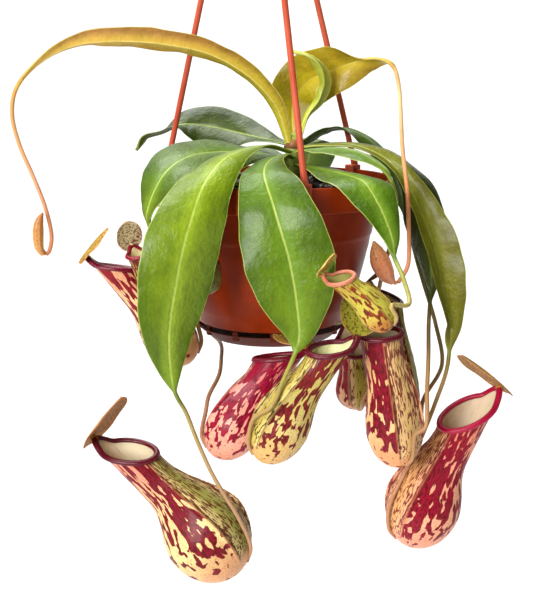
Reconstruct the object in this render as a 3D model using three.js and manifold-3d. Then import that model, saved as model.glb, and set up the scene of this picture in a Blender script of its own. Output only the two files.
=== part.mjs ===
// A tropical pitcher plant in a hanging plastic pot: pot, saucer, growing mix, three hanger arms
// under one hook, and the plant with its leaves, tendrils, buds and pitchers.
// Millimetres, +Z up. The origin is the top of the hook's inner curve, where a rail bears.
import * as THREE from "three";
import { mergeVertices } from "three/addons/utils/BufferGeometryUtils.js";
import Module from "manifold-3d";

const wasm = await Module();
wasm.setup();

// ---------------------------------------------------------------- driving dimensions
const GAP = 0.35;                 // clearance between touching pieces
const HOOK_ABOVE_RIM = 250;       // bearing point above the pot's rim
const HOOK_SIDE = -8;             // the load line passes left of the pot's middle
const RIM_R = 69.65;              // 14 cm pot
const BAND_H = 14;                // height of the rim band
const POT_H = 82.7;               // rim to the underside of the floor
const WALL = 1.8;                 // moulded wall
const FOOT_R = 42.4;              // pot's foot
const SOIL_LEVEL = -6;            // growing mix at the rim
const STEM_R = 5;                 // the plant's short stem
const STEM_TOP = 24;
const BLADE_T = 0.8;              // leaf blade
const RIB_T = 2.0;                // over the midrib
const TENDRIL_R = 1.15;           // a tendril's radius
const POT_SIDES = 36;

// ---------------------------------------------------------------- meshes and solids
const V = (x, y, z) => new THREE.Vector3(x, y, z);
const rad = THREE.MathUtils.degToRad;
const clamp01 = (x) => Math.min(1, Math.max(0, x));
const smooth = (x) => clamp01(x) ** 2 * (3 - 2 * clamp01(x));

function meshGeometry(points, faces) {
  const geometry = new THREE.BufferGeometry();
  geometry.setAttribute("position", new THREE.Float32BufferAttribute(points.flatMap((p) => p.toArray()), 3));
  geometry.setIndex(faces.flat());
  return geometry;
}

// A closed skin over rings of points, with a fan over each end.
function loft(rings) {
  const points = rings.flat();
  const sides = rings[0].length;
  const faces = [];
  for (let i = 0; i + 1 < rings.length; i++) {
    for (let j = 0; j < sides; j++) {
      const a = i * sides + j;
      const b = i * sides + (j + 1) % sides;
      faces.push([a, b, b + sides], [a, b + sides, a + sides]);
    }
  }
  const first = points.length;
  points.push(middle(rings[0]), middle(rings[rings.length - 1]));
  const last = (rings.length - 1) * sides;
  for (let j = 0; j < sides; j++) {
    const k = (j + 1) % sides;
    faces.push([first, k, j], [first + 1, last + j, last + k]);
  }
  return meshGeometry(points, faces);
}

function middle(ring) {
  return ring.reduce((sum, p) => sum.add(p), V(0, 0, 0)).divideScalar(ring.length);
}

// A thin sheet between an upper and a lower grid of points, split alike on both faces.
function sheet(upper, lower) {
  const columns = upper[0].length;
  const points = [...upper.flat(), ...lower.flat()];
  const under = upper.length * columns;
  const last = columns - 1;
  const faces = [];
  for (let i = 0; i + 1 < upper.length; i++) {
    for (let j = 0; j < last; j++) {
      const a = i * columns + j;
      const c = a + columns;
      faces.push([a, c + 1, a + 1], [a, c, c + 1]);
      faces.push([under + a, under + a + 1, under + c + 1], [under + a, under + c + 1, under + c]);
    }
    const left = i * columns;
    const right = left + last;
    faces.push([left, under + left, under + left + columns], [left, under + left + columns, left + columns]);
    faces.push([right, right + columns, under + right + columns],
      [right, under + right + columns, under + right]);
  }
  const end = (upper.length - 1) * columns;
  for (let j = 0; j < last; j++) {
    faces.push([j, j + 1, under + j + 1], [j, under + j + 1, under + j]);
    const e = end + j;
    faces.push([e, under + e + 1, e + 1], [e, under + e, under + e + 1]);
  }
  return meshGeometry(points, faces);
}

function toSolid(geometry) {
  const bare = geometry.clone();
  for (const name of Object.keys(bare.attributes)) {
    if (name !== "position") bare.deleteAttribute(name);
  }
  const merged = mergeVertices(bare, 1e-4);
  return new wasm.Manifold(new wasm.Mesh({
    numProp: 3,
    vertProperties: new Float32Array(merged.attributes.position.array),
    triVerts: new Uint32Array(merged.index.array),
  }));
}

function toGeometry(solid) {
  const mesh = solid.getMesh();
  const geometry = new THREE.BufferGeometry();
  geometry.setAttribute("position", new THREE.BufferAttribute(mesh.vertProperties, 3));
  geometry.setIndex(new THREE.BufferAttribute(mesh.triVerts, 1));
  return geometry;
}

function joined(geometries) {
  return geometries.map(toSolid).reduce((whole, next) => whole.add(next));
}

// A solid turned round Z, from a closed profile of [radius, height].
function turned(profile, sides) {
  const points = profile.map(([r, z]) => new THREE.Vector2(r, z));
  return new THREE.LatheGeometry(points, sides).rotateX(Math.PI / 2);
}

// A straight round bar between two points.
function bar(from, to, radius, sides) {
  const along = to.clone().sub(from);
  const geometry = new THREE.CylinderGeometry(radius, radius, along.length(), sides);
  geometry.applyQuaternion(new THREE.Quaternion().setFromUnitVectors(V(0, 1, 0), along.clone().normalize()));
  const centre = from.clone().add(to).multiplyScalar(0.5);
  return geometry.translate(centre.x, centre.y, centre.z);
}

// ---------------------------------------------------------------- curves
// The point at place t (counted in control points) of a smooth curve through all of them.
function curvePoint(points, t) {
  const i = Math.min(Math.floor(t), points.length - 2);
  const u = t - i;
  const p1 = points[i];
  const p2 = points[i + 1];
  const p0 = i > 0 ? points[i - 1] : p1.map((v, k) => 2 * v - p2[k]);
  const p3 = i + 2 < points.length ? points[i + 2] : p2.map((v, k) => 2 * v - p1[k]);
  return p1.map((v, k) => {
    const bend = 2 * p0[k] - 5 * v + 4 * p2[k] - p3[k];
    const swing = 3 * v - p0[k] - 3 * p2[k] + p3[k];
    return v + 0.5 * u * (p2[k] - p0[k] + u * (bend + u * swing));
  });
}

// Stations spaced evenly by length between two places on the curve.
function stations(points, from, to, count) {
  const fine = 24 * (points.length - 1);
  const places = Array.from({ length: fine + 1 }, (_, i) => from + (to - from) * i / fine);
  const spots = places.map((t) => V(...curvePoint(points, t).slice(0, 3)));
  const run = [0];
  for (let i = 1; i <= fine; i++) run.push(run[i - 1] + spots[i].distanceTo(spots[i - 1]));
  const result = [];
  let k = 0;
  for (let i = 0; i <= count; i++) {
    const goal = run[fine] * i / count;
    while (k < fine - 1 && run[k + 1] < goal) k++;
    const u = clamp01((goal - run[k]) / (run[k + 1] - run[k]));
    result.push(places[k] + (places[k + 1] - places[k]) * u);
  }
  return result;
}

function direction(points, t) {
  const step = 0.02;
  const end = points.length - 1;
  const ahead = V(...curvePoint(points, Math.min(end, t + step)).slice(0, 3));
  const behind = V(...curvePoint(points, Math.max(0, t - step)).slice(0, 3));
  return ahead.sub(behind).normalize();
}

// ---------------------------------------------------------------- pot, saucer, growing mix
const WALL_PROFILE = [[61, -BAND_H], [58.4, -31], [57.6, -33], [54.2, -48], [49.6, -65], [43.6, -80]];

function pot() {
  const inner = WALL_PROFILE.map(([r, z], i) => [r - WALL, i === 0 ? z + WALL : z]);
  inner[inner.length - 1][1] = -POT_H + 2;
  const profile = [
    [0, -POT_H], [FOOT_R, -POT_H], ...[...WALL_PROFILE].reverse(),
    [RIM_R - 0.6, -BAND_H], [RIM_R, -BAND_H + 0.8], [RIM_R, -0.8], [RIM_R - 0.8, 0],
    [RIM_R - 2, 0], [RIM_R - 2, -BAND_H + WALL], ...inner, [0, -POT_H + 2],
  ];
  let body = toSolid(turned(profile, POT_SIDES));
  for (const turn of [45, 135, 225, 315]) {
    const hole = new THREE.CylinderGeometry(4, 4, 8, 10).rotateX(Math.PI / 2);
    hole.translate(24 * Math.cos(rad(turn)), 24 * Math.sin(rad(turn)), -POT_H + 1);
    body = body.subtract(toSolid(hole));
  }
  return toGeometry(body);
}

function saucer() {
  const top = -POT_H - 2.5;
  const floor = top - 7;
  const profile = [
    [0, floor], [34, floor], [36.5, floor + 0.8], [43.4, top], [41.8, top], [35.6, floor + 2], [0, floor + 2],
  ];
  const pieces = [turned(profile, POT_SIDES)];
  for (let i = 0; i < 12; i++) {
    const height = -POT_H - GAP - (top - 3);
    const tab = new THREE.BoxGeometry(2.2, 3.4, height).translate(41.2, 0, top - 3 + height / 2);
    pieces.push(tab.rotateZ(rad(i * 30 + 1.5)));
  }
  return toGeometry(joined(pieces));
}

function soil() {
  const crumb = (r, turn) => 0.7 * Math.sin(r * 0.31 + turn * 3) * Math.cos(turn * 5 - r * 0.17);
  const side = WALL_PROFILE.slice(1).map(([r, z]) => [r - WALL - GAP, z]);
  const bottom = -POT_H + 2 + GAP;
  side[side.length - 1][1] = bottom;
  side.reverse();
  side.push([WALL_PROFILE[0][0] - WALL - GAP, -BAND_H + WALL + GAP]);
  side.push([RIM_R - 2 - GAP, -BAND_H + WALL + GAP], [RIM_R - 2 - GAP, SOIL_LEVEL]);
  const sides = 24;
  const ring = (r, z, rough) => Array.from({ length: sides }, (_, j) => {
    const turn = 2 * Math.PI * j / sides;
    return V(r * Math.cos(turn), r * Math.sin(turn), z + (rough ? crumb(r, turn) : 0));
  });
  const rings = side.map(([r, z]) => ring(r, z, false));
  rings.push(ring(50, SOIL_LEVEL + 1, true), ring(30, SOIL_LEVEL + 2, true), ring(12, SOIL_LEVEL + 2, true));
  const hole = bar(V(10, 4, -40), V(10, 4, 10), STEM_R + 1 + GAP, 12);
  return toGeometry(toSolid(loft(rings)).subtract(toSolid(hole)));
}

// ---------------------------------------------------------------- hanger
const HUB_Z = 218;                // hub's underside above the rim
const ARM_R = 1.7;
const ARM_TURNS = { left: 152, front: -76, right: 43 };

// A flat strip of the given width that follows points in a plane, extruded to its depth.
function strip(points, width, depth) {
  const offset = (side) => points.map((p, i) => {
    const a = points[Math.max(0, i - 1)];
    const b = points[Math.min(points.length - 1, i + 1)];
    const length = Math.hypot(b[0] - a[0], b[1] - a[1]);
    return new THREE.Vector2(p[0] - side * (b[1] - a[1]) / length, p[1] + side * (b[0] - a[0]) / length);
  });
  const shape = new THREE.Shape([...offset(width / 2), ...offset(-width / 2).reverse()]);
  const geometry = new THREE.ExtrudeGeometry(shape, { depth, bevelEnabled: false, curveSegments: 1 });
  return geometry.translate(0, 0, -depth / 2).rotateX(Math.PI / 2);
}

function armEnds(turn) {
  const out = V(Math.cos(rad(turn)), Math.sin(rad(turn)), 0);
  const foot = out.clone().multiplyScalar(RIM_R + 1.4).setZ(1.2);
  const head = V(HOOK_SIDE, 0, HUB_Z + 3).add(out.clone().multiplyScalar(4));
  return { out, foot, head };
}

function hook() {
  const bearingZ = HOOK_ABOVE_RIM;
  const innerR = 9;
  const half = 2;
  const centreZ = bearingZ - innerR;
  const path = [[0, HUB_Z + 4], [0, HUB_Z + 9], [3, HUB_Z + 13], [8, centreZ - 7]];
  for (let a = -25; a <= 205; a += 23) {
    const reach = innerR + half;
    path.push([reach * Math.cos(rad(a)), centreZ + reach * Math.sin(rad(a))]);
  }
  const curl = strip(path, 2 * half, 5).translate(HOOK_SIDE, 0, 0);
  const hub = turned([[0, HUB_Z], [7, HUB_Z], [8.5, HUB_Z + 1.5], [8, HUB_Z + 5], [3.5, HUB_Z + 7],
    [0, HUB_Z + 7]], 20);
  let body = joined([curl, hub.translate(HOOK_SIDE, 0, 0)]);
  for (const turn of Object.values(ARM_TURNS)) {
    const { foot, head } = armEnds(turn);
    const along = head.clone().sub(foot).normalize();
    const deep = head.clone().add(along.clone().multiplyScalar(GAP));
    const below = head.clone().sub(along.multiplyScalar(12));
    body = body.subtract(toSolid(bar(below, deep, ARM_R + GAP, 10)));
  }
  return toGeometry(body);
}

function arm(turn) {
  const { foot, head } = armEnds(turn);
  const r0 = RIM_R + GAP;
  const outer = r0 + 2.2;
  const clip = [
    [outer, 2.6], [outer, -BAND_H - 2.6], [RIM_R - 4, -BAND_H - 2.6], [RIM_R - 4, -BAND_H - GAP],
    [r0, -BAND_H - GAP], [r0, GAP], [RIM_R - 2 - GAP, GAP], [RIM_R - 2 - GAP, -3.5],
    [RIM_R - 4.2, -3.5], [RIM_R - 4.2, 2.6],
  ];
  const shape = new THREE.Shape(clip.map(([r, z]) => new THREE.Vector2(r, z)));
  const grip = new THREE.ExtrudeGeometry(shape, { depth: 7, bevelEnabled: false }).translate(0, 0, -3.5);
  grip.rotateX(Math.PI / 2).rotateZ(rad(turn));
  return toGeometry(joined([grip, bar(foot, head, ARM_R, 10)]));
}

// ---------------------------------------------------------------- pitchers
// foot and mouth are the ends of the body's axis, front is the way its wings face (degrees from +X).
const PITCHERS = {
  lower_left: { foot: [-18, -62, -215], mouth: [-77, -54, -149],
    front: -20, belly: 23.5, waist: 0.46, slant: 1, lid: 57 },
  lower_right: { foot: [77.5, -44, -206], mouth: [108, -48, -129],
    front: 200, belly: 20.3, waist: 0.56, slant: 1, lid: 42, size: 1.18 },
  front: { foot: [-6, -94, -138], mouth: [29, -88, -82],
    front: 200, belly: 14.4, waist: 0.6, slant: 0.8,
    lid: 100, turn: 65, heel: -0.03, lean: 12, size: 1.15 },
  red: { foot: [-31, -64, -146], mouth: [3, -62, -93],
    front: 173, belly: 15, waist: 0.66, slant: 0.8, lid: 15 },
  upper: { foot: [59, -105, -65], mouth: [35, -104, -41],
    front: -26, belly: 8.2, waist: 0.7, slant: 0.6, lid: 57 },
  centre_right: { foot: [69, -70, -150], mouth: [58, -66, -79],
    front: -55, belly: 15, waist: 0.7, slant: 0.15, lid: 20 },
  behind_centre: { foot: [48, -38, -127], mouth: [45, -41, -91],
    front: -75, belly: 11, waist: 0.75, slant: 0.5, lid: 25 },
  behind_right: { foot: [79, -24, -150], mouth: [66, -21, -68],
    front: -15, belly: 10.5, waist: 0.7, slant: 0.6, lid: 45 },
  left: { foot: [-44, -50, -97], mouth: [-82, -48, -47],
    front: 5, belly: 14.5, waist: 0.58, slant: 1, lid: 53 },
  small_left: { foot: [-61, -65, -60], mouth: [-69, -63, -36],
    front: -60, belly: 7.4, waist: 0.8, slant: 0.3, lid: 72, lean: -18, size: 1.3 },
  back: { foot: [-4, 84, -112], mouth: [8, 88, -62],
    front: 160, belly: 13, waist: 0.68, slant: 0.8, lid: 55 },
};
const WIDE = 12;                  // a body wider than this gets more facets and a thicker wall
const FINE_ANGLES = [0, 22, 36, 50, 80, 115, 148, 180, 212, 245, 280, 310, 324, 338];
const COARSE_ANGLES = [0, 34, 75, 115, 150, 180, 210, 245, 285, 326];
const FULL = 0.31;                // the belly's place along the axis
const NARROW = 0.7;               // the waist's place
const FLARE = 0.08;               // how much the neck widens from waist to mouth
const SPUR = 0.5;                 // how far the mouth's back is drawn up, by the neck's radius
const RIDGE = 0.13;               // a wing's height, by the body's radius
const TROUGH = 0.05;              // the hollow between the wings
const APRON = 0.2;                // how far the wings' strip fills the waist, by the belly

const isWide = (pitcher) => pitcher.belly > WIDE;
const wallOf = (pitcher) => isWide(pitcher) ? 1.6 : 1.2;
const lipRadius = (pitcher) => isWide(pitcher) ? 1.5 : 1.0;
const anglesOf = (pitcher) => isWide(pitcher) ? FINE_ANGLES : COARSE_ANGLES;

function pitcherRadius(pitcher, t) {
  if (t < FULL) return pitcher.belly * Math.sqrt(1 - (1 - t / FULL) ** 2);
  const slim = 1 - (1 - pitcher.waist) * smooth((t - FULL) / (NARROW - FULL));
  return pitcher.belly * slim * (1 + FLARE * clamp01((t - NARROW) / (1 - NARROW)) ** 1.5);
}

function pitcherFrame(pitcher) {
  const foot = V(...pitcher.foot);
  const along = V(...pitcher.mouth).sub(foot);
  const length = along.length();
  const up = along.clone().normalize();
  const facing = V(Math.cos(rad(pitcher.front)), Math.sin(rad(pitcher.front)), 0);
  const front = facing.clone().sub(up.clone().multiplyScalar(facing.dot(up))).normalize();
  return { foot, length, up, front, facing, side: up.clone().cross(front) };
}

// A point of the body's skin: t along the axis, angle from the front, scaled out or raised by mm.
function skin(pitcher, frame, t, angle, outward, raised) {
  const cos = Math.cos(rad(angle));
  const sin = Math.sin(rad(angle));
  const r = Math.max(0.5, pitcherRadius(pitcher, t) + outward);
  const tilt = smooth((t - 0.6) / 0.4);
  const spur = clamp01((-cos - 0.75) / 0.25) ** 2;
  const lift = tilt * r * (-pitcher.slant * cos + SPUR * spur);
  return frame.foot.clone()
    .addScaledVector(frame.up, t * frame.length + lift + raised)
    .addScaledVector(frame.front, r * cos)
    .addScaledVector(frame.side, r * sin);
}

// How far the two wings and the strip between them stand off the round body.
function wing(pitcher, t, angle) {
  const away = Math.min(angle, 360 - angle);
  const ridge = Math.abs(away - 35) < 3 ? RIDGE : 0;
  const trough = away === 0 ? TROUGH : 0;
  const fill = APRON * (1 - smooth((away - 25) / 45)) * Math.exp(-(((t - 0.62) / 0.2) ** 2));
  const fade = Math.sin(Math.PI * clamp01((t - 0.05) / 0.9));
  return pitcherRadius(pitcher, t) * (ridge - trough) * fade + pitcher.belly * fill;
}

function cup(pitcher) {
  const frame = pitcherFrame(pitcher);
  const angles = anglesOf(pitcher);
  const outside = [0.02, 0.11, 0.25, 0.43, 0.6, 0.74, 0.87, 1];
  const inside = [1, 0.82, 0.6];
  const rings = outside.map((t) => angles.map((a) => skin(pitcher, frame, t, a, wing(pitcher, t, a), 0)));
  rings.push(...inside.map((t) => angles.map((a) => skin(pitcher, frame, t, a, -wallOf(pitcher), 0))));
  return loft(rings);
}

function lipCentre(pitcher, frame, angle) {
  const raised = (lipRadius(pitcher) + GAP + 0.1) * Math.hypot(1, pitcher.slant);
  return skin(pitcher, frame, 1, angle, -wallOf(pitcher) / 2 + 0.4, raised);
}

// The rolled lip: a ring of four-sided section along the mouth.
function lip(pitcher) {
  const frame = pitcherFrame(pitcher);
  const r = lipRadius(pitcher);
  const angles = anglesOf(pitcher);
  const centres = angles.map((a) => lipCentre(pitcher, frame, a));
  const heart = middle(centres);
  const points = [];
  centres.forEach((c, i) => {
    const before = centres[(i + angles.length - 1) % angles.length];
    const along = centres[(i + 1) % angles.length].clone().sub(before).normalize();
    const out = c.clone().sub(heart);
    out.addScaledVector(along, -out.dot(along)).normalize();
    const over = along.clone().cross(out).normalize();
    if (over.dot(frame.up) < 0) over.negate();
    const corners = [[1.25, -0.3], [0.2, 1], [-1, 0.1], [0, -1]];
    for (const [a, b] of corners) {
      points.push(c.clone().addScaledVector(out, a * r).addScaledVector(over, b * r));
    }
  });
  const faces = [];
  for (let i = 0; i < angles.length; i++) {
    const k = (i + 1) % angles.length;
    for (let j = 0; j < 4; j++) {
      const m = (j + 1) % 4;
      faces.push([4 * i + j, 4 * k + j, 4 * k + m], [4 * i + j, 4 * k + m, 4 * i + m]);
    }
  }
  return meshGeometry(points, faces);
}

// The lid: a thin oval leaf on the lip's raised back, standing at its own angle over the mouth.
function lid(pitcher) {
  const frame = pitcherFrame(pitcher);
  const facing = frame.facing.clone().applyAxisAngle(V(0, 0, 1), rad(pitcher.turn ?? 0));
  const along = facing.clone().multiplyScalar(Math.cos(rad(pitcher.lid)));
  along.setZ(Math.sin(rad(pitcher.lid)));
  const side = V(0, 0, 1).cross(facing).normalize();
  const out = along.clone().cross(side).normalize();
  if (out.dot(facing) > 0) out.negate();
  for (const v of [along, side]) v.applyAxisAngle(out, rad(pitcher.lean ?? 0));
  const length = (pitcher.belly * 1.5 + 3) * (pitcher.size ?? 1);
  const width = (pitcher.belly * 0.62 + 1) * (pitcher.size ?? 1);
  const thick = 1;
  const heel = pitcher.heel ?? 0.2;
  const seat = lipRadius(pitcher) + GAP + thick / 2 + 0.3;
  const hinge = lipCentre(pitcher, frame, 180).addScaledVector(out, seat);
  const upper = [];
  const lower = [];
  for (const s of [0, 0.08, 0.28, 0.6, 0.88, 1]) {
    const w = Math.max(0.8, width * Math.sqrt(Math.max(0, 1 - (2 * s - 1) ** 2)));
    const row = [-1, 0, 1].map((u) => {
      const dome = -0.14 * w * u * u - 0.1 * length * (s - heel) ** 2;
      return hinge.clone().addScaledVector(along, (s - heel) * length)
        .addScaledVector(side, u * w).addScaledVector(out, dome);
    });
    upper.push(row.map((p) => p.clone().addScaledVector(out, thick / 2)));
    lower.push(row.map((p) => p.clone().addScaledVector(out, -thick / 2)));
  }
  return sheet(upper, lower);
}

// ---------------------------------------------------------------- leaves and tendrils
// blade: midrib points [x, y, z, roll in degrees], starting at the stem. tail: the tendril's points.
// A leaf that feeds a pitcher gets that pitcher's front as the last stretch of its tendril.
const LEAVES = {
  long_left: {
    width: 8, peak: 0.5, az: 190, fold: 15, wave: 0.8,
    blade: [[9, -1, 19.5, 60], [5, -8, 36, 50], [-2, -13, 47, 40], [-15, -18, 59, 35],
      [-34, -22, 69, 35], [-58, -24, 74, 35], [-84, -24, 75.5, 35], [-108, -22, 73, 30],
      [-127, -18, 64, 20], [-140, -15, 51, 10]],
    tail: [[-144, -13, 36], [-141, -12, 19], [-134, -12, 1], [-128, -12, -16], [-125, -12, -31],
      [-126, -12, -40], [-128.2, -13.2, -43]],
  },
  furled: {
    width: 5, az: 20, fold: 70, wave: 0,
    blade: [[16, 1, 22.5, 0], [21, 1, 34, 0], [29, 1, 42, 0], [33, 0, 52, 0], [30, -3, 61, 0],
      [22, -7, 67, 0], [11, -11, 70, 0]],
    tail: [],
  },
  upright: {
    width: 15, peak: 0.4, az: 90, fold: 20, wave: 1,
    blade: [[13, 4, 23, 0], [12, 12, 32, 0], [13, 19, 42, 0], [21, 18, 53, -35], [36, 10, 60, -55],
      [51, 0, 65.5, -25], [63, -9, 65, -25], [68, -15, 60, -40]],
    tail: [[70, -21, 49], [70.5, -27, 35], [71, -34, 18], [73, -42, -3], [74, -46, -24], [74, -48, -42],
      [70, -50, -50], [67.3, -50.8, -52.6]],
  },
  back_left: {
    width: 12.5, az: 145, fold: 5, wave: 1,
    blade: [[8, 6, 18, 0], [-5, 21, 20, -20], [-21, 35, 23, -50], [-37, 43, 26, -55],
      [-53, 45, 27, -40], [-66, 43, 22, -10], [-76, 39, 19, 0], [-81, 36, 12, 0]],
    tail: [],
  },
  left: {
    width: 22, az: 215, fold: -3, wave: 0.8,
    blade: [[8, -4, 10, 0], [-8, -12, 14, -12], [-27, -22, 15.5, -20], [-44, -33, 14, -14],
      [-56, -44, 6.5, -8], [-64, -51, -8, -3], [-65, -54, -20, 0]],
    tail: [[-58, -55, -34], [-50, -55, -50], [-44, -54, -66]], feeds: "left",
  },
  front_left: {
    width: 18.5, peak: 0.66, az: 262, fold: -12, wave: 2,
    blade: [[9, -6, 14, 0], [-1, -20, 18.5, 5], [-12, -38, 18.5, 8], [-24, -57, 15, 3],
      [-34, -74, 4, -7], [-40, -84, -12, -18], [-45, -89, -30, -25], [-49, -90, -50, -28],
      [-52, -89, -68, -28], [-52.5, -86, -86, -22], [-50.5, -82, -104, -10]],
    tail: [[-45, -76, -118], [-39, -73, -136], [-31, -70, -156]], feeds: "lower_left",
  },
  front: {
    width: 21.5, peak: 0.7, az: 266, fold: 2, wave: 1.5,
    blade: [[12, -7, 11, 0], [7, -28, 14, 10], [-0.8, -50, 13, 14], [-3.8, -70, 8, 12], [0, -82, -4, 9],
      [4, -87, -17, 5], [8, -89, -30, 0], [11, -90, -44, 0], [13, -90, -58, 0], [14, -90, -71, 0],
      [12, -91, -81, 0]],
    tail: [[6, -96, -94], [0, -102, -106]], feeds: "front",
  },
  right_front: {
    width: 13.5, az: -68, fold: -5, wave: 1,
    blade: [[16, -7, 7, 0], [26, -25, 7, 0], [38, -45, 5.5, 0], [48, -60, 2.5, 0], [54.5, -68.5, -7, 0],
      [59, -74, -17, 0], [61.5, -77, -25, 0], [62.5, -80, -33, 0]],
    tail: [[66, -91, -42], [68, -102, -53]], feeds: "upper",
  },
  long_right: {
    width: 12, peak: 0.5, az: -20, fold: 58, wave: 1.2,
    blade: [[18, -1, 16.5, 0], [31, -3, 18, 10], [47, -6, 17.5, 20], [62, -11, 12, 35],
      [72, -17, 3, 45], [80, -22, -11, 45], [86, -26, -25, 45], [91, -30, -41, 45], [95, -34, -60, 45],
      [99, -37, -78, 45], [99, -40, -93, 45]],
    tail: [[97, -43, -105], [92, -46, -119], [86, -48, -135], [79, -48, -153]], feeds: "lower_right",
  },
  small_right: {
    width: 9, az: -36, fold: -15, wave: 0.5,
    blade: [[17, -4, 14, 0], [26, -15, 17, 0], [37, -25, 18, 0], [48, -34, 16, 0], [58, -41, 10, 0],
      [63, -44, 4, 0]],
    tail: [[67, -44, -8], [66, -41, -28], [61, -38, -50], [58, -37, -72], [60, -38, -92],
      [57, -50, -106]], feeds: "behind_centre",
  },
  dark_right: {
    width: 12, az: -34, fold: -5, wave: 0.8,
    blade: [[19, 3, 14, 0], [36, 9, 18, 0], [54, 9, 17, 0], [70, 5, 11, 0], [84, -3, -4, 10],
      [88, -9, -24, 45], [90, -14, -42, 60], [91, -19, -58, 60], [90, -23, -68, 60]],
    tail: [[88, -34, -80], [85, -57, -92], [82, -76, -106], [81, -84, -122]], feeds: "centre_right",
  },
  right_back: {
    width: 10, az: -30, fold: -10, wave: 1,
    blade: [[18, 6, 17, 0], [31, 20, 24, 0], [45, 30, 25, 0], [60, 34, 18, 0], [72, 33, 5, 0],
      [79, 27, -14, 0], [83, 18, -31, 0], [85, 9, -46, 0]],
    tail: [[89, -2, -62], [95, -14, -84], [98, -22, -106]], feeds: "behind_right",
  },
  back: {
    width: 15, az: 78, fold: -8, wave: 1.5,
    blade: [[15, 8, 14, 0], [19, 28, 18, 0], [23, 48, 18, 0], [25, 66, 13, 0], [24, 80, 2, 0],
      [20, 90, -13, 0], [14, 95, -28, 0]],
    tail: [[5, 99, -44], [-8, 100, -60], [-15, 98, -76]], feeds: "back",
  },
  under_left: {
    width: 4, az: 222, fold: -8, wave: 0.3,
    blade: [[9, -4, 6, 0], [-5, -17, 5, 0], [-22, -34, 3.4, 0], [-36, -50, 2.2, 0], [-45, -64, 0.6, 0],
      [-53, -70, -8, 0], [-56, -72.5, -21, 0]],
    tail: [[-55, -73, -34], [-55, -73, -46]], feeds: "small_left",
  },
  back_under: {
    width: 14, az: 128, fold: -8, wave: 1.5,
    blade: [[9, 8, 9, 0], [-6, 28, 13, 0], [-24, 48, 13, 0], [-41, 61, 7, 0], [-53, 67, -5, 0],
      [-60, 66, -21, 0], [-61, 60, -38, 0]],
    tail: [[-57, 53, -57], [-48, 44, -80], [-38, 28, -97], [-30, 5, -100], [-28.5, -22, -102],
      [-29, -44, -106], [-34, -56, -114]], feeds: "red",
  },
  under_front: {
    width: 3.5, az: 246, fold: -5, wave: 0.3,
    blade: [[11, -7, 3, 0], [3, -24, 3, 0], [-6, -42, 3.2, 0], [-19, -59, 2.6, 0], [-28, -70, 0.2, 0],
      [-31, -73, -11, 0]],
    tail: [[-33, -74, -26], [-36, -73, -40]], feeds: "tiny",
  },
};
const BLADE_STEPS = 10;
const ACROSS = [-1, -0.5, 0, 0.5, 1];
const PETIOLE = 2.1;              // half the leaf's width where it leaves the stem

// The stem's axis, each point with its radius.
const STEM = [
  [10, 4, -38, STEM_R - 1], [10, 4, -14, STEM_R], [11, 3, 0, STEM_R], [12.5, 1, 12, STEM_R - 0.5],
  [13, 0, STEM_TOP, STEM_R - 2.2],
];

// The tiny closed pitcher against the pot's wall.
const TINY = { foot: [-33, -67, -55], mouth: [-28, -65, -38], front: 250, belly: 4.6, waist: 0.8, slant: 0 };

function frontOf(pitcher, t, clear) {
  const frame = pitcherFrame(pitcher);
  return skin(pitcher, frame, t, 0, wing(pitcher, t, 0) + clear, 0).toArray();
}

// The leaf's own directions at a place on its midrib: along it, across to its right edge, and up.
function leafAxes(spec, path, t) {
  const roll = rad(curvePoint(path, t)[3]);
  const across = V(-Math.sin(rad(spec.az)), Math.cos(rad(spec.az)), 0);
  const along = direction(path, t);
  const flat = across.addScaledVector(along, -across.dot(along)).normalize();
  const flatUp = along.clone().cross(flat);
  const side = flat.multiplyScalar(Math.cos(roll)).addScaledVector(flatUp, Math.sin(roll));
  return { side, up: along.clone().cross(side) };
}

// The midrib's first point, set against the stem at its height.
function rooted(spec) {
  const [, next] = spec.blade;
  const height = Math.min(spec.blade[0][2], STEM_TOP);
  const i = STEM.findIndex((p) => p[2] >= height);
  const u = (height - STEM[i - 1][2]) / (STEM[i][2] - STEM[i - 1][2]);
  const [x, y, , radius] = STEM[i].map((v, k) => STEM[i - 1][k] * (1 - u) + v * u);
  const out = V(next[0] - x, next[1] - y, 0).normalize();
  const { side, up } = leafAxes(spec, spec.blade, 0);
  const reach = radius + GAP + PETIOLE * Math.abs(side.dot(out)) + RIB_T / 2 * Math.abs(up.dot(out));
  return [x + out.x * reach, y + out.y * reach, ...spec.blade[0].slice(2)];
}

function leafPath(leaf) {
  const blade = [rooted(leaf), ...leaf.blade.slice(1)];
  const tail = leaf.tail.map((p) => [...p, 0]);
  if (leaf.feeds) {
    const pitcher = leaf.feeds === "tiny" ? TINY : PITCHERS[leaf.feeds];
    const close = TENDRIL_R + GAP + 0.3;
    tail.push([...frontOf(pitcher, 0.28, close + 0.7), 0], [...frontOf(pitcher, 0.1, close), 0]);
  }
  return [...blade, ...tail];
}

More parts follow.
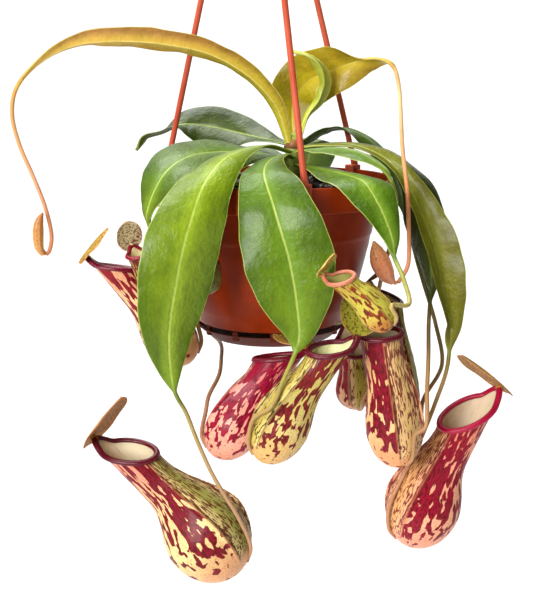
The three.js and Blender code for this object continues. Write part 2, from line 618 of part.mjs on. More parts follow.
function leaf(spec) {
  const path = leafPath(spec);
  const split = spec.blade.length - 1;
  const places = stations(path, 0, split, BLADE_STEPS);
  const bladeSteps = places.length - 1;
  if (path.length - 1 > split) {
    const steps = Math.max(5, Math.round((path.length - 1 - split) * 1.8));
    places.push(...stations(path, split, path.length - 1, steps).slice(1));
  }
  const hasTail = places.length - 1 > bladeSteps;
  const upper = [];
  const lower = [];
  places.forEach((t, i) => {
    const [x, y, z] = curvePoint(path, t);
    const { side, up } = leafAxes(spec, path, t);
    const s = Math.min(1, i / bladeSteps);
    const onBlade = i <= bladeSteps ? 1 : 0;
    const swell = Math.sin(Math.PI * s ** (Math.log(0.5) / Math.log(spec.peak ?? 0.55))) ** 1.05;
    const end = hasTail ? TENDRIL_R : 1;
    const w = Math.max((PETIOLE * (1 - s) + end * s) + spec.width * swell * onBlade, end);
    const spread = clamp01((w - 2.4) / 5);
    const fold = rad(spec.fold) * spread;
    const rib = onBlade ? RIB_T : 2 * TENDRIL_R;
    const top = [];
    const bottom = [];
    for (const u of ACROSS) {
      const wave = spec.wave * spread * u * u * Math.sin(9 * s + (u > 0 ? 1.3 : 0));
      const out = u * w * Math.cos(fold);
      const rise = Math.abs(u) * w * Math.sin(fold) + wave;
      const thick = THREE.MathUtils.lerp(rib * Math.sqrt(1 - 0.85 * u * u), u === 0 ? RIB_T : BLADE_T,
        spread);
      const mid = V(x, y, z).addScaledVector(side, out).addScaledVector(up, rise);
      top.push(mid.clone().addScaledVector(up, thick / 2));
      bottom.push(mid.clone().addScaledVector(up, -thick / 2));
    }
    upper.push(top);
    lower.push(bottom);
  });
  return sheet(upper, lower);
}

// ---------------------------------------------------------------- stem and buds
// A solid of round section along a curve of [x, y, z, radius].
function taperedTube(points, steps, sides) {
  const rings = stations(points, 0, points.length - 1, steps).map((t) => {
    const [x, y, z, r] = curvePoint(points, t);
    const along = direction(points, t);
    const side = V(0.31, 1, 0.11).cross(along).normalize();
    const up = along.clone().cross(side);
    return Array.from({ length: sides }, (_, j) => {
      const a = 2 * Math.PI * j / sides;
      return V(x, y, z).addScaledVector(side, r * Math.cos(a)).addScaledVector(up, r * Math.sin(a));
    });
  });
  return loft(rings);
}

const BUDS = {
  bud_left: [[-129.8, -14.6, -43.2, 1.2], [-131.5, -16, -38, 2.6], [-131.5, -16.5, -29, 3],
    [-128.5, -16.5, -20, 1]],
  bud_right: [[65.6, -51.2, -52.4, 1.4], [62, -52, -48, 4.2], [58.5, -52, -41, 5], [56.5, -52, -35, 3.6],
    [55, -52, -30.5, 1.2]],
};

// ---------------------------------------------------------------- assembly
const material = (color, roughness) => new THREE.MeshStandardMaterial({ color, roughness, metalness: 0 });
const TERRACOTTA = material(0xa8452c, 0.45);
const HANGER = material(0xd0694c, 0.4);
const MIX = material(0x2a1f18, 1);
const GREEN = material(0x5f8f24, 0.35);
const GOLD = material(0xa98a2f, 0.4);
const WALL_SKIN = material(0xb5543f, 0.4);
const LIP_SKIN = material(0x8e1432, 0.25);
const LID_SKIN = material(0xb8924c, 0.5);
const BUD_SKIN = material(0xb0703a, 0.5);

const plant = new THREE.Group();
plant.position.set(-HOOK_SIDE, 0, -HOOK_ABOVE_RIM);

function place(name, geometry, skinMaterial) {
  const mesh = new THREE.Mesh(geometry, skinMaterial);
  mesh.name = name;
  plant.add(mesh);
}

place("pot", pot(), TERRACOTTA);
place("saucer", saucer(), TERRACOTTA);
place("soil", soil(), MIX);
place("hanger_hook", hook(), HANGER);
for (const [name, turn] of Object.entries(ARM_TURNS)) place(`hanger_arm_${name}`, arm(turn), HANGER);
place("stem", taperedTube(STEM, 8, 12), GREEN);
for (const [name, spec] of Object.entries(LEAVES)) {
  place(`leaf_${name}`, leaf(spec), ["long_left", "upright"].includes(name) ? GOLD : GREEN);
}
for (const [name, points] of Object.entries(BUDS)) place(name, taperedTube(points, 7, 8), BUD_SKIN);
for (const [name, pitcher] of Object.entries(PITCHERS)) {
  place(`pitcher_${name}_cup`, cup(pitcher), WALL_SKIN);
  place(`pitcher_${name}_lip`, lip(pitcher), LIP_SKIN);
  place(`pitcher_${name}_lid`, lid(pitcher), LID_SKIN);
}
const tinyAxis = [TINY.foot, TINY.mouth].map((p) => V(...p));
const tinyPoints = [[0, 1.2], [0.2, TINY.belly], [0.6, 3.8], [1, 1.6]].map(([t, r]) => {
  return [...tinyAxis[0].clone().lerp(tinyAxis[1], t).toArray(), r];
});
place("pitcher_tiny", taperedTube(tinyPoints, 7, 8), WALL_SKIN);

const hangingPitcherPlant = new THREE.Group();
hangingPitcherPlant.add(plant);
export default hangingPitcherPlant;
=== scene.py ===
import random
from math import copysign, cos, dist, exp, hypot, log, pi, radians, sin, sqrt

import bpy
import numpy as np
from mathutils import Matrix, Vector, noise


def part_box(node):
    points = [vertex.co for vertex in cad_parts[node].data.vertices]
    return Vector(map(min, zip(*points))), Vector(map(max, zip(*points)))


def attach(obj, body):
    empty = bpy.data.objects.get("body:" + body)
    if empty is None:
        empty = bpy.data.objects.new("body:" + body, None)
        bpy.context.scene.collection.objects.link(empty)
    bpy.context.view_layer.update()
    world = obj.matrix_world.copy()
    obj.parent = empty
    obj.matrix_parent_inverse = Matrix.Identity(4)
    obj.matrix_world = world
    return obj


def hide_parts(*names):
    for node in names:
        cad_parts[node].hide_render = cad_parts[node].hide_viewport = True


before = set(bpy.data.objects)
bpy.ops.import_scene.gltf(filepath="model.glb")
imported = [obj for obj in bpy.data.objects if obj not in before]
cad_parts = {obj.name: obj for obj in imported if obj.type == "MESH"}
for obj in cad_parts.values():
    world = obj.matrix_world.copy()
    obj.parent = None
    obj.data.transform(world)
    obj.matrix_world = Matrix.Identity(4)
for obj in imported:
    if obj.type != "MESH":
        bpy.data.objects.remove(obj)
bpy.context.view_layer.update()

# ---------------------------------------------------------------- camera
# A portrait lens 65 cm in front of the plant, a little above the pot's rim and looking slightly down.
MM = 0.001
pot_low, pot_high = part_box("pot")
RIM_CENTRE = Vector(((pot_low.x + pot_high.x) / 2, (pot_low.y + pot_high.y) / 2, pot_high.z))
CAMERA_PLACE = Vector((-2.6, -650, 64))
CAMERA_DOWN = 11.84
LENS = 68.03

lens = bpy.data.cameras.new("camera")
lens.lens = LENS
lens.sensor_width = 36
lens.clip_start = 0.01
camera = bpy.data.objects.new("camera", lens)
camera.location = RIM_CENTRE + CAMERA_PLACE * MM
camera.rotation_euler = (radians(90 - CAMERA_DOWN), 0, 0)
bpy.context.scene.collection.objects.link(camera)
bpy.context.scene.camera = camera

# ---------------------------------------------------------------- grow pot
# An injection-moulded polypropylene pot in terracotta: a collar, a stepped tapering wall, four drain
# holes in the floor, all in one finish.
RIM_R = 69.65           # the collar's radius
BAND_H = 14             # its height
POT_H = 82.7            # the pot's height
WALL = 1.8
POT_TURNS = 144         # faces round the pot


def linear(code, shade=1.0):
    """A hex sRGB colour as the linear colour that the shader takes, made darker by the shade."""
    parts = [int(code[i:i + 2], 16) / 255 for i in (1, 3, 5)]
    parts = [c / 12.92 if c <= 0.04045 else ((c + 0.055) / 1.055) ** 2.4 for c in parts]
    return tuple(shade * c for c in parts) + (1,)


def feed(tree, node, settings):
    """Sets a node's properties, ramp stops and inputs, and links the inputs that nodes or sockets feed."""
    for key, value in settings.items():
        if isinstance(value, bpy.types.Node):
            value = value.outputs[2 if value.bl_idname == "ShaderNodeMix" else 0]
        if isinstance(value, bpy.types.NodeSocket):
            tree.links.new(value, node.inputs[key])
        elif key == "stops":
            stops = node.color_ramp.elements
            while len(stops) < len(value):
                stops.new(1.0)
            for stop, (place, colour) in zip(stops, value):
                stop.position = place
                stop.color = linear(colour) if isinstance(colour, str) else (colour, colour, colour, 1)
        elif key in ("From", "To"):
            node.inputs[key + " Min"].default_value, node.inputs[key + " Max"].default_value = value
        elif isinstance(key, str) and hasattr(node, key):
            setattr(node, key, value)
        else:
            node.inputs[key].default_value = linear(value) if isinstance(value, str) else value


def add(tree, kind, settings={}):
    """Adds a node. Math is named with what it does, and a Mix blends colours 6 and 7 by the share 0."""
    kind, _, operation = kind.partition(" ")
    new = tree.nodes.new("ShaderNode" + kind)
    if operation:
        new.operation = operation
    if kind == "Mix":
        new.data_type = "RGBA"
    feed(tree, new, settings)
    return new


def surface(name, **constants):
    """A new material with its shader's own sockets set; returns it with its tree and shader."""
    material = bpy.data.materials.new(name)
    material.use_nodes = True
    tree = material.node_tree
    shader = tree.nodes["Principled BSDF"]
    for key, value in constants.items():
        shader.inputs[key.replace("_", " ")].default_value = value
    return material, tree, shader


def piece(name, points, faces, skins, slot, nodes=(), crease=40, marks=None, skin_of=None):
    """Makes a mesh from points in millimetres, finishes it and fixes it to the plant's one body."""
    mesh = bpy.data.meshes.new(name)
    mesh.from_pydata([RIM_CENTRE + Vector(p) * MM for p in points], [], faces)
    for skin in skins:
        mesh.materials.append(skin)
    if skin_of is not None:
        mesh.polygons.foreach_set("material_index", skin_of)
    mesh.shade_smooth()
    mesh.set_sharp_from_angle(angle=radians(crease))
    for key, values in (marks or {}).items():
        values = np.asarray(values, np.float32)
        wide = values.ndim == 2
        layer = mesh.attributes.new(key, "FLOAT_VECTOR" if wide else "FLOAT", "POINT")
        layer.data.foreach_set("vector" if wide else "value", values.ravel())
    made = bpy.data.objects.new(name, mesh)
    bpy.context.scene.collection.objects.link(made)
    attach(made, "root")
    if nodes:
        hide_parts(*nodes)
    return made


def polar(r, angle):
    """The x and y of a point at a radius and an angle in radians."""
    return r * cos(angle), r * sin(angle)


def quads(rings, sides, first=0, closed=False, flip=False):
    """Faces between each ring of points and the next, and from the last back to the first if closed."""
    faces = []
    for i in range(rings if closed else rings - 1):
        a, b = first + i * sides, first + (i + 1) % rings * sides
        for j in range(sides):
            k = (j + 1) % sides
            faces.append((a + j, b + j, b + k, a + k) if flip else (a + j, a + k, b + k, b + j))
    return faces


def fan(tip, first, sides, flip=False):
    """Faces that close a ring of points towards a tip."""
    ring = [(first + j, first + (j + 1) % sides) for j in range(sides)]
    return [(tip, b, a) if flip else (tip, a, b) for a, b in ring]


def turned(profile, turns):
    """Points and faces of a solid turned round the pot's axis, from a closed profile of (radius, height)."""
    points = [(*polar(r, 2 * pi * j / turns), z) for r, z in profile for j in range(turns)]
    return points, quads(len(profile), turns, closed=True)


def moulded_polypropylene(name, bright, deep, scuffed, roughness):
    """Pigmented polypropylene: even colour with faint flow clouds, a soft sheen and a few fine scuffs."""
    material, tree, shader = surface(name, IOR=1.45, Specular_IOR_Level=0.12)
    where = add(tree, "TexCoord").outputs["Object"]
    clouds = add(tree, "TexNoise", {"Scale": 1000 / 30, "Detail": 4, "Roughness": 0.6, "Vector": where})
    cloud = add(tree, "MapRange", {"From": (0.35, 0.68), "Value": clouds})
    tint = add(tree, "Mix", {0: cloud, 6: deep, 7: bright})
    scratched = add(tree, "Mapping", {"Rotation": (0.3, 0.9, 0.2), "Scale": (1, 1, 14), "Vector": where})
    scratch = add(tree, "TexNoise", {"Scale": 1000 / 9, "Detail": 2, "Vector": scratched})
    scuff = add(tree, "MapRange", {"From": (0.66, 0.74), "To": (0, 0.22), "Value": scratch})
    edge = add(tree, "NewGeometry").outputs["Pointiness"]
    worn = add(tree, "MapRange", {"From": (0.53, 0.6), "To": (0, 0.25), "Value": edge})
    pale = add(tree, "Math MAXIMUM", {0: scuff, 1: worn})
    colour = add(tree, "Mix", {0: pale, 6: tint, 7: scuffed})
    rough = add(tree, "MapRange", {"To": (roughness - 0.06, roughness + 0.1), "Value": clouds})
    grain = add(tree, "TexNoise", {"Scale": 1000 / 1.2, "Detail": 3, "Vector": where})
    bump = add(tree, "Bump", {"Strength": 0.25, "Distance": 0.00008, "Height": grain})
    sink = add(tree, "Bump", {"Strength": 0.4, "Distance": 0.0003, "Height": clouds, "Normal": bump})
    feed(tree, shader, {"Base Color": colour, "Roughness": rough, "Normal": sink})
    return material


outer_wall = [
    (61.0, -BAND_H + 0.2), (60.6, -15.2), (59.6, -22), (58.5, -30.2), (58.3, -31.2), (57.7, -32.4),
    (57.4, -33.4), (56.6, -38), (54.2, -48), (51.9, -57), (49.6, -65), (46.2, -73.6), (45.9, -74.3),
    (45.2, -75.4), (43.6, -80),
]
inner_wall = [(r - WALL, z) for r, z in outer_wall if z < -15]
pot_profile = [(2, -POT_H), (30, -POT_H), (41.8, -POT_H), (42.6, -POT_H + 0.3)]
pot_profile += list(reversed(outer_wall))
pot_profile += [
    (63, -BAND_H), (RIM_R - 0.9, -BAND_H), (RIM_R - 0.35, -BAND_H + 0.2), (RIM_R, -BAND_H + 0.8),
    (RIM_R, -9), (RIM_R, -4), (RIM_R, -0.9), (RIM_R - 0.2, -0.35), (RIM_R - 0.7, -0.02),
    (RIM_R - 1.4, -0.02), (RIM_R - 1.9, -0.3), (RIM_R - 2, -0.9), (RIM_R - 2, -BAND_H + WALL),
    (61 - WALL, -BAND_H + WALL),
]
pot_profile += inner_wall + [(40.6, -POT_H + 2), (30, -POT_H + 2), (2, -POT_H + 2)]
terracotta = moulded_polypropylene("terracotta polypropylene", "#a0340a", "#7c2606", "#b05630", 0.32)
pot = piece("grow_pot", *turned(pot_profile, POT_TURNS), [terracotta], "pot", ["pot"], crease=30)

# Drain holes are cut through the floor.
for turn in (45, 135, 225, 315):
    middle = Vector((*polar(24, radians(turn)), -POT_H + 1))
    bpy.ops.mesh.primitive_cylinder_add(vertices=32, radius=4 * MM, depth=8 * MM,
                                        location=RIM_CENTRE + middle * MM)
    drill = bpy.context.object
    cut = pot.modifiers.new("drain hole", "BOOLEAN")
    cut.operation = "DIFFERENCE"
    cut.object = drill
    bpy.context.view_layer.update()
    drilled = bpy.data.meshes.new_from_object(pot.evaluated_get(bpy.context.evaluated_depsgraph_get()))
    pot.modifiers.clear()
    pot.data = drilled
    bpy.data.objects.remove(drill)

# ---------------------------------------------------------------- saucer
# A clip-on drip saucer moulded from the same plastic, its colour painted darker as shade under the pot.
# Twelve small tabs hold it off the pot's floor, and the shadow gap between them shows as a dark broken line.
SAUCER_TOP = -POT_H - 2.5
SAUCER_FLOOR = SAUCER_TOP - 7
saucer_profile = [
    (2, SAUCER_FLOOR), (33.4, SAUCER_FLOOR), (35.6, SAUCER_FLOOR + 0.2), (36.7, SAUCER_FLOOR + 0.9),
    (38.6, SAUCER_FLOOR + 2.7), (42.6, SAUCER_TOP - 0.9), (43.3, SAUCER_TOP - 0.25), (43.1, SAUCER_TOP),
    (42.1, SAUCER_TOP), (41.7, SAUCER_TOP - 0.3), (37.6, SAUCER_FLOOR + 4), (35.6, SAUCER_FLOOR + 2.4),
    (34, SAUCER_FLOOR + 2), (2, SAUCER_FLOOR + 2),
]
TABS = 12
TAB_TOP = -POT_H - 0.35


def swung(x, y, angle):
    """The x and y of a point swung round the upright axis."""
    return x * cos(angle) - y * sin(angle), x * sin(angle) + y * cos(angle)


def join(*meshes):
    """Several lists of points and faces as one."""
    points, faces = [], []
    for more_points, more_faces in meshes:
        faces += [tuple(i + len(points) for i in face) for face in more_faces]
        points += list(more_points)
    return points, faces


tabs = []
for i in range(TABS):
    turn = radians(i * 360 / TABS + 1.5)
    corners = []
    for z, inset in ((SAUCER_TOP - 3, 0), (TAB_TOP - 0.5, 0), (TAB_TOP, 0.4)):
        for x, y in ((40.1, -1.7), (42.2, -1.7), (42.2, 1.7), (40.1, 1.7)):
            x, y = x + copysign(inset, 41.2 - x), y - copysign(inset, y)
            corners.append((*swung(x, y, turn), z))
    tabs.append((corners, quads(3, 4) + [(3, 2, 1, 0), (8, 9, 10, 11)]))
# painted shade: the pot's plastic in a darker brown, for the shade that the saucer hangs in
shade_darkened_pot_plastic = moulded_polypropylene("terracotta polypropylene painted darker for shade", "#5e200e", "#4c180a", "#7a3c24", 0.55)
piece("drip_saucer", *join(turned(saucer_profile, POT_TURNS), *tabs), [shade_darkened_pot_plastic], "saucer",
      ["saucer"], crease=35)

# ---------------------------------------------------------------- growing mix
# Damp peat fills the pot to just under the collar, with chips of composted bark and white pumice bits
# pressed into it. The peat is dark and dull, the chips catch the light on their edges.
SOIL_R = 67.3
SOIL_LEVEL = -6
STEM_SPOT = (10, 4)
rng = random.Random(11)


def heap(x, y):
    """Height of the peat's lumpy top."""
    r = hypot(x, y)
    lumps = 1.3 * noise.noise(Vector((x, y, 3)) / 9) + 0.5 * noise.noise(Vector((x, y, 9)) / 3)
    return SOIL_LEVEL + 1.6 * (1 - (r / SOIL_R) ** 4) + lumps * (1 if r < SOIL_R - 2 else 0.3)


SOIL_ROWS = 34
SOIL_TURNS = 96
soil_points = [(0, 0, heap(0, 0))]
for i in range(1, SOIL_ROWS + 1):
    for j in range(SOIL_TURNS):
        x, y = polar(SOIL_R * (i / SOIL_ROWS) ** 0.8, 2 * pi * j / SOIL_TURNS)
        soil_points.append((x, y, heap(x, y)))
soil_below = [(SOIL_R, -BAND_H + 2.2), (58.8, -BAND_H + 2.2), (55, -38), (47, -68), (41, -POT_H + 2.4)]
soil_points += turned(soil_below, SOIL_TURNS)[0] + [(0, 0, -POT_H + 2.4)]
levels = SOIL_ROWS + len(soil_below)
soil_faces = fan(0, 1, SOIL_TURNS) + quads(levels, SOIL_TURNS, first=1, flip=True)
soil_faces += fan(len(soil_points) - 1, 1 + (levels - 1) * SOIL_TURNS, SOIL_TURNS, flip=True)

peat, tree, shader = surface("damp peat", IOR=1.4)
where = add(tree, "TexCoord").outputs["Object"]
crumbs = add(tree, "TexNoise", {"Scale": 1000 / 4, "Detail": 8, "Roughness": 0.7, "Vector": where})
stops = [(0.3, "#120c08"), (0.52, "#2a1b12"), (0.72, "#4a3222")]
colour = add(tree, "ValToRGB", {"stops": stops, 0: crumbs})
damp = add(tree, "MapRange", {"To": (0.95, 0.6), "Value": crumbs})
bump = add(tree, "Bump", {"Strength": 0.9, "Distance": 0.0012, "Height": crumbs})
feed(tree, shader, {"Base Color": colour, "Roughness": damp, "Normal": bump})
piece("peat", soil_points, soil_faces, [peat], "growing_mix", ["soil"], crease=180)


LUMP_POINTS = 14


def chips(count, low, high, flat, lift):
    """Broken lumps scattered over the peat: points, faces and one tone for each lump."""
    points, faces, tones = [], [], []
    while len(tones) < count * LUMP_POINTS:
        r = (SOIL_R - 3) * sqrt(rng.random())
        turn = rng.random() * 2 * pi
        x, y = polar(r, turn)
        size = rng.uniform(low, high)
        if dist((x, y), STEM_SPOT) < 8 + size:
            continue
        spin = rng.random() * pi
        tip = rng.uniform(-0.5, 0.5)
        tone = rng.random()
        base = len(points)
        for z, wide in ((-0.5, 0.8), (0.5, 0.75)):
            for j in range(6):
                a = j * pi / 3 + rng.uniform(-0.3, 0.3)
                px = wide * size * rng.uniform(0.75, 1.15) * cos(a)
                py = wide * size * flat * rng.uniform(0.7, 1.2) * sin(a)
                pz = z * size * flat * rng.uniform(0.7, 1.2) + px * tip
                dx, dy = swung(px, py, spin)
                points.append((x + dx, y + dy, heap(x, y) + lift * size * flat + pz))
        points += [(x, y, heap(x, y) - size * flat * 0.4),
                   (x, y, heap(x, y) + size * flat * (lift + 0.62))]
        tones += [tone] * LUMP_POINTS
        for j in range(6):
            k = (j + 1) % 6
            faces += [(base + j, base + k, base + 6 + k, base + 6 + j),
                      (base + 12, base + k, base + j), (base + 13, base + 6 + j, base + 6 + k)]
    return points, faces, tones


def broken(name, stops, roughness, grain_mm):
    """Dry crumbly lumps, each of its own tone, with a coarse grain."""
    material, tree, shader = surface(name, Roughness=roughness)
    tone = add(tree, "Attribute", {"attribute_name": "tone"}).outputs["Fac"]
    where = add(tree, "TexCoord").outputs["Object"]
    grain = add(tree, "TexNoise", {"Scale": 1000 / grain_mm, "Detail": 5, "Roughness": 0.7,
                                   "Vector": where})
    mixed = add(tree, "Math MULTIPLY_ADD", {0: grain, 1: 0.5, 2: -0.25})
    total = add(tree, "Math ADD", {0: tone, 1: mixed})
    colour = add(tree, "ValToRGB", {"stops": stops, 0: total})
    bump = add(tree, "Bump", {"Strength": 0.8, "Distance": 0.0004, "Height": grain})
    feed(tree, shader, {"Base Color": colour, "Normal": bump})
    return material


bark = broken("composted bark", [(0.1, "#1c120c"), (0.5, "#3c2719"), (0.9, "#6b4a30")], 0.85, 1.5)
pumice = broken("white pumice", [(0.1, "#a79f92"), (0.6, "#d8d3c8"), (1.0, "#f0eee8")], 0.9, 0.8)
points, faces, tones = chips(300, 1.6, 4.2, 0.5, 0.1)
piece("bark_chips", points, faces, [bark], "growing_mix", crease=25, marks={"tone": tones})
points, faces, tones = chips(130, 0.7, 1.7, 0.8, 0.35)
piece("pumice_bits", points, faces, [pumice], "growing_mix", crease=25, marks={"tone": tones})

# ---------------------------------------------------------------- hanger
# A moulded hanger: a flat hook on a round hub, and three round arms that end in clips over the rim.
# It is the pot's plastic in a thinner section, painted pinker and a little brighter as painted light on the
# thin arms.
HOOK_ABOVE_RIM = 250    # where the hook bears on its rail
HOOK_SIDE = -8          # the hook's place beside the pot's middle
HUB_Z = 218             # the hub's underside
ARM_R = 1.7
GAP = 0.35              # clearance between pieces that touch
ARM_TURNS = {"left": 152, "front": -76, "right": 43}
# painted light: the pot's plastic made pinker and brighter for the light that the thin arms catch
pot_plastic_painted_lit = moulded_polypropylene("terracotta polypropylene painted pink and lit", "#c45a42", "#ac4830", "#cc8064",
                                       0.34)


def tube(spine, radii, sides, axis=(0.31, 1, 0.11)):
    """A closed round bar along a spine of points: its points and faces."""
    spine = [Vector(p) for p in spine]
    points = []
    for i, centre in enumerate(spine):
        along = (spine[min(i + 1, len(spine) - 1)] - spine[max(i - 1, 0)]).normalized()
        side = Vector(axis).cross(along).normalized()
        up = along.cross(side)
        for j in range(sides):
            x, y = polar(radii[i], 2 * pi * j / sides)
            points.append(centre + side * x + up * y)
    points += [spine[0], spine[-1]]
    faces = quads(len(spine), sides) + fan(len(points) - 2, 0, sides, flip=True)
    return points, faces + fan(len(points) - 1, (len(spine) - 1) * sides, sides)


def extruded(outline, low, high, place):
    """A plate between two levels with an outline of 2-D points; place turns (a, b, level) into a point."""
    points = [place(a, b, low) for a, b in outline] + [place(a, b, high) for a, b in outline]
    count = len(outline)
    faces = [(j, (j + 1) % count, count + (j + 1) % count, count + j) for j in range(count)]
    faces += [tuple(reversed(range(count))), tuple(range(count, 2 * count))]
    return points, faces


def rounded(made, width):
    """Softens the hard edges of a piece, as a mould does."""
    bevel = made.modifiers.new("mould radius", "BEVEL")
    bevel.width = width * MM
    bevel.segments = 2
    bevel.limit_method = "ANGLE"
    bevel.angle_limit = radians(40)
    bevel.harden_normals = False


hook_centre = HOOK_ABOVE_RIM - 9
hook_line = [(0, HUB_Z + 4), (0, HUB_Z + 9), (1.2, HUB_Z + 11.5), (3, HUB_Z + 13), (6, HUB_Z + 14.6),
             (8.6, hook_centre - 6.4)]
for a in range(-25, 206, 7):
    x, z = polar(11, radians(a))
    hook_line.append((x, hook_centre + z))
left_edge, right_edge = [], []
for i, (x, z) in enumerate(hook_line):
    x0, z0 = hook_line[max(i - 1, 0)]
    x1, z1 = hook_line[min(i + 1, len(hook_line) - 1)]
    length = hypot(x1 - x0, z1 - z0)
    dx, dz = (x1 - x0) / length, (z1 - z0) / length
    half = 2.0 if i < len(hook_line) - 1 else 1.6
    left_edge.append((x - dz * half, z + dx * half))
    right_edge.append((x + dz * half, z - dx * half))
points, faces = [], []
for y in (-2.5, 2.5):
    points += [(HOOK_SIDE + x, y, z) for x, z in left_edge + right_edge]
count = len(hook_line)
for i in range(count - 1):
    a, b = i, i + count
    c, d = a + 2 * count, b + 2 * count
    faces += [(a, a + 1, b + 1, b), (c, d, d + 1, c + 1), (a, c, c + 1, a + 1), (b, b + 1, d + 1, d)]
faces += [(0, count, 3 * count, 2 * count),
          (count - 1, 3 * count - 1, 4 * count - 1, 2 * count - 1)]
hub_profile = [(0.5, 0), (6.4, 0), (7.2, 0.3), (8.4, 1.7), (8.3, 4.2), (7.4, 5.6), (3.6, 7), (0.5, 7)]
hub_points, hub_faces = turned(hub_profile, 48)
hub_points = [(x + HOOK_SIDE, y, z + HUB_Z) for x, y, z in hub_points]
hook = piece("hanger_hook_and_hub", *join((points, faces), (hub_points, hub_faces)), [pot_plastic_painted_lit],
             "hanger", ["hanger_hook"], crease=35)
rounded(hook, 0.5)

CLIP_OUT = RIM_R + GAP + 2.2
CLIP_IN = RIM_R + GAP
clip_outline = [
    (CLIP_OUT, 2.6), (RIM_R - 4.2, 2.6), (RIM_R - 4.2, -3.5),
    (RIM_R - 2 - GAP, -3.5), (RIM_R - 2 - GAP, GAP),
    (CLIP_IN, GAP), (CLIP_IN, -BAND_H - GAP), (RIM_R - 4, -BAND_H - GAP), (RIM_R - 4, -BAND_H - 2.6),
    (CLIP_OUT, -BAND_H - 2.6),
]
for name, turn in ARM_TURNS.items():
    out = Vector((*polar(1, radians(turn)), 0))
    across = Vector((-out.y, out.x, 0))
    foot = out * (RIM_R + 1.4) + Vector((0, 0, 1.2))
    head = Vector((HOOK_SIDE, 0, HUB_Z + 3)) + out * 4
    along = (head - foot).normalized()
    spine = [foot, foot + along * 3, foot + along * 7] + [foot.lerp(head, i / 12) for i in range(1, 13)]
    radii = [2.1, 2.1, ARM_R * 1.04] + [ARM_R] * 12
    rod = tube(spine, radii, 24)
    clip = extruded(clip_outline, -3.5, 3.5, lambda r, z, w: out * r + across * w + Vector((0, 0, z)))
    piece(f"hanger_arm_{name}_rod", *rod, [pot_plastic_painted_lit], "hanger")
    grip = piece(f"hanger_clip_{name}", *clip, [pot_plastic_painted_lit], "hanger", [f"hanger_arm_{name}"],
                 crease=35)
    rounded(grip, 0.45)

# ---------------------------------------------------------------- stem
# The plant's short green stem stands in the mix, wrapped by the bases of old leaves. A dry brown
# sheath rings it at the crown.
STEM = [(10, 4, -38, 4), (10, 4, -14, 5), (11, 3, 0, 5), (12.5, 1, 12, 4.5), (13, 0, 24, 2.8)]
STEM_TOP = 24


def curve_point(points, t):
    """The point at place t (counted in control points) of a smooth curve through all of them."""
    points = np.asarray(points, float)
    i = min(int(t), len(points) - 2)
    u = t - i
    p1, p2 = points[i], points[i + 1]
    p0 = points[i - 1] if i > 0 else 2 * p1 - p2
    p3 = points[i + 2] if i + 2 < len(points) else 2 * p2 - p1
    bend = 2 * p0 - 5 * p1 + 4 * p2 - p3
    swing = 3 * p1 - p0 - 3 * p2 + p3
    return p1 + 0.5 * u * (p2 - p0 + u * (bend + u * swing))


def stations(points, start, end, count):
    """Places spaced evenly by length between two places on the curve."""
    places = np.linspace(start, end, 24 * (len(points) - 1) + 1)
    spots = np.array([curve_point(points, t)[:3] for t in places])
    run = np.concatenate(([0], np.cumsum(np.linalg.norm(np.diff(spots, axis=0), axis=1))))
    return list(np.interp(np.linspace(0, run[-1], count + 1), run, places))


def direction(points, t):
    """The way that the curve goes at place t."""
    ahead = curve_point(points, min(len(points) - 1, t + 0.02))[:3]
    behind = curve_point(points, max(0, t - 0.02))[:3]
    return Vector(ahead - behind).normalized()


def living_skin(name, stops, roughness, cell_mm, spots="#6a3a1e", spot_share=0.0, bump_mm=0.15):
    """Smooth plant skin with a waxy bloom: soft colour clouds, small freckles and a fine cell texture."""
    material, tree, shader = surface(name, IOR=1.42, Roughness=roughness, Subsurface_Weight=0.08,
                                     Subsurface_Scale=0.002, Subsurface_Radius=(0.6, 0.4, 0.15),
                                     Coat_Weight=0.15, Coat_Roughness=0.25)
    growth = add(tree, "Attribute", {"attribute_name": "growth"}).outputs["Fac"]
    where = add(tree, "TexCoord").outputs["Object"]
    clouds = add(tree, "TexNoise", {"Scale": 1000 / 6, "Detail": 3, "Vector": where})
    shift = add(tree, "Math MULTIPLY_ADD", {0: clouds, 1: 0.16, 2: -0.08})
    total = add(tree, "Math ADD", {0: growth, 1: shift})
    base = add(tree, "ValToRGB", {"stops": stops, 0: total})
    freckles = add(tree, "TexNoise", {"Scale": 1000 / cell_mm, "Detail": 2, "Vector": where})
    freckle = add(tree, "MapRange", {"From": (0.7 - 0.3 * spot_share, 0.76 - 0.3 * spot_share),
                                     "To": (0, 0.8 if spot_share else 0.25), "Value": freckles})
    colour = add(tree, "Mix", {0: freckle, 6: base, 7: spots})
    rough = add(tree, "MapRange", {"To": (roughness - 0.08, roughness + 0.1), "Value": clouds})
    bump = add(tree, "Bump", {"Strength": 0.5, "Distance": bump_mm * MM, "Height": freckles})
    feed(tree, shader, {"Base Color": colour, "Roughness": rough, "Normal": bump})
    return material


def grown_tube(line, rings, sides, ripple=0):
    """A tube along a smooth curve of (x, y, z, radius): points, faces, each point's growth, the spine."""
    spine = [curve_point(line, t) for t in stations(line, 0, len(line) - 1, rings)]
    radii = [p[3] * (1 + ripple * sin(i * 1.9)) for i, p in enumerate(spine)]
    points, faces = tube([p[:3] for p in spine], radii, sides)
    return points, faces, [i / rings for i in range(rings + 1) for _ in range(sides)] + [0, 1], spine


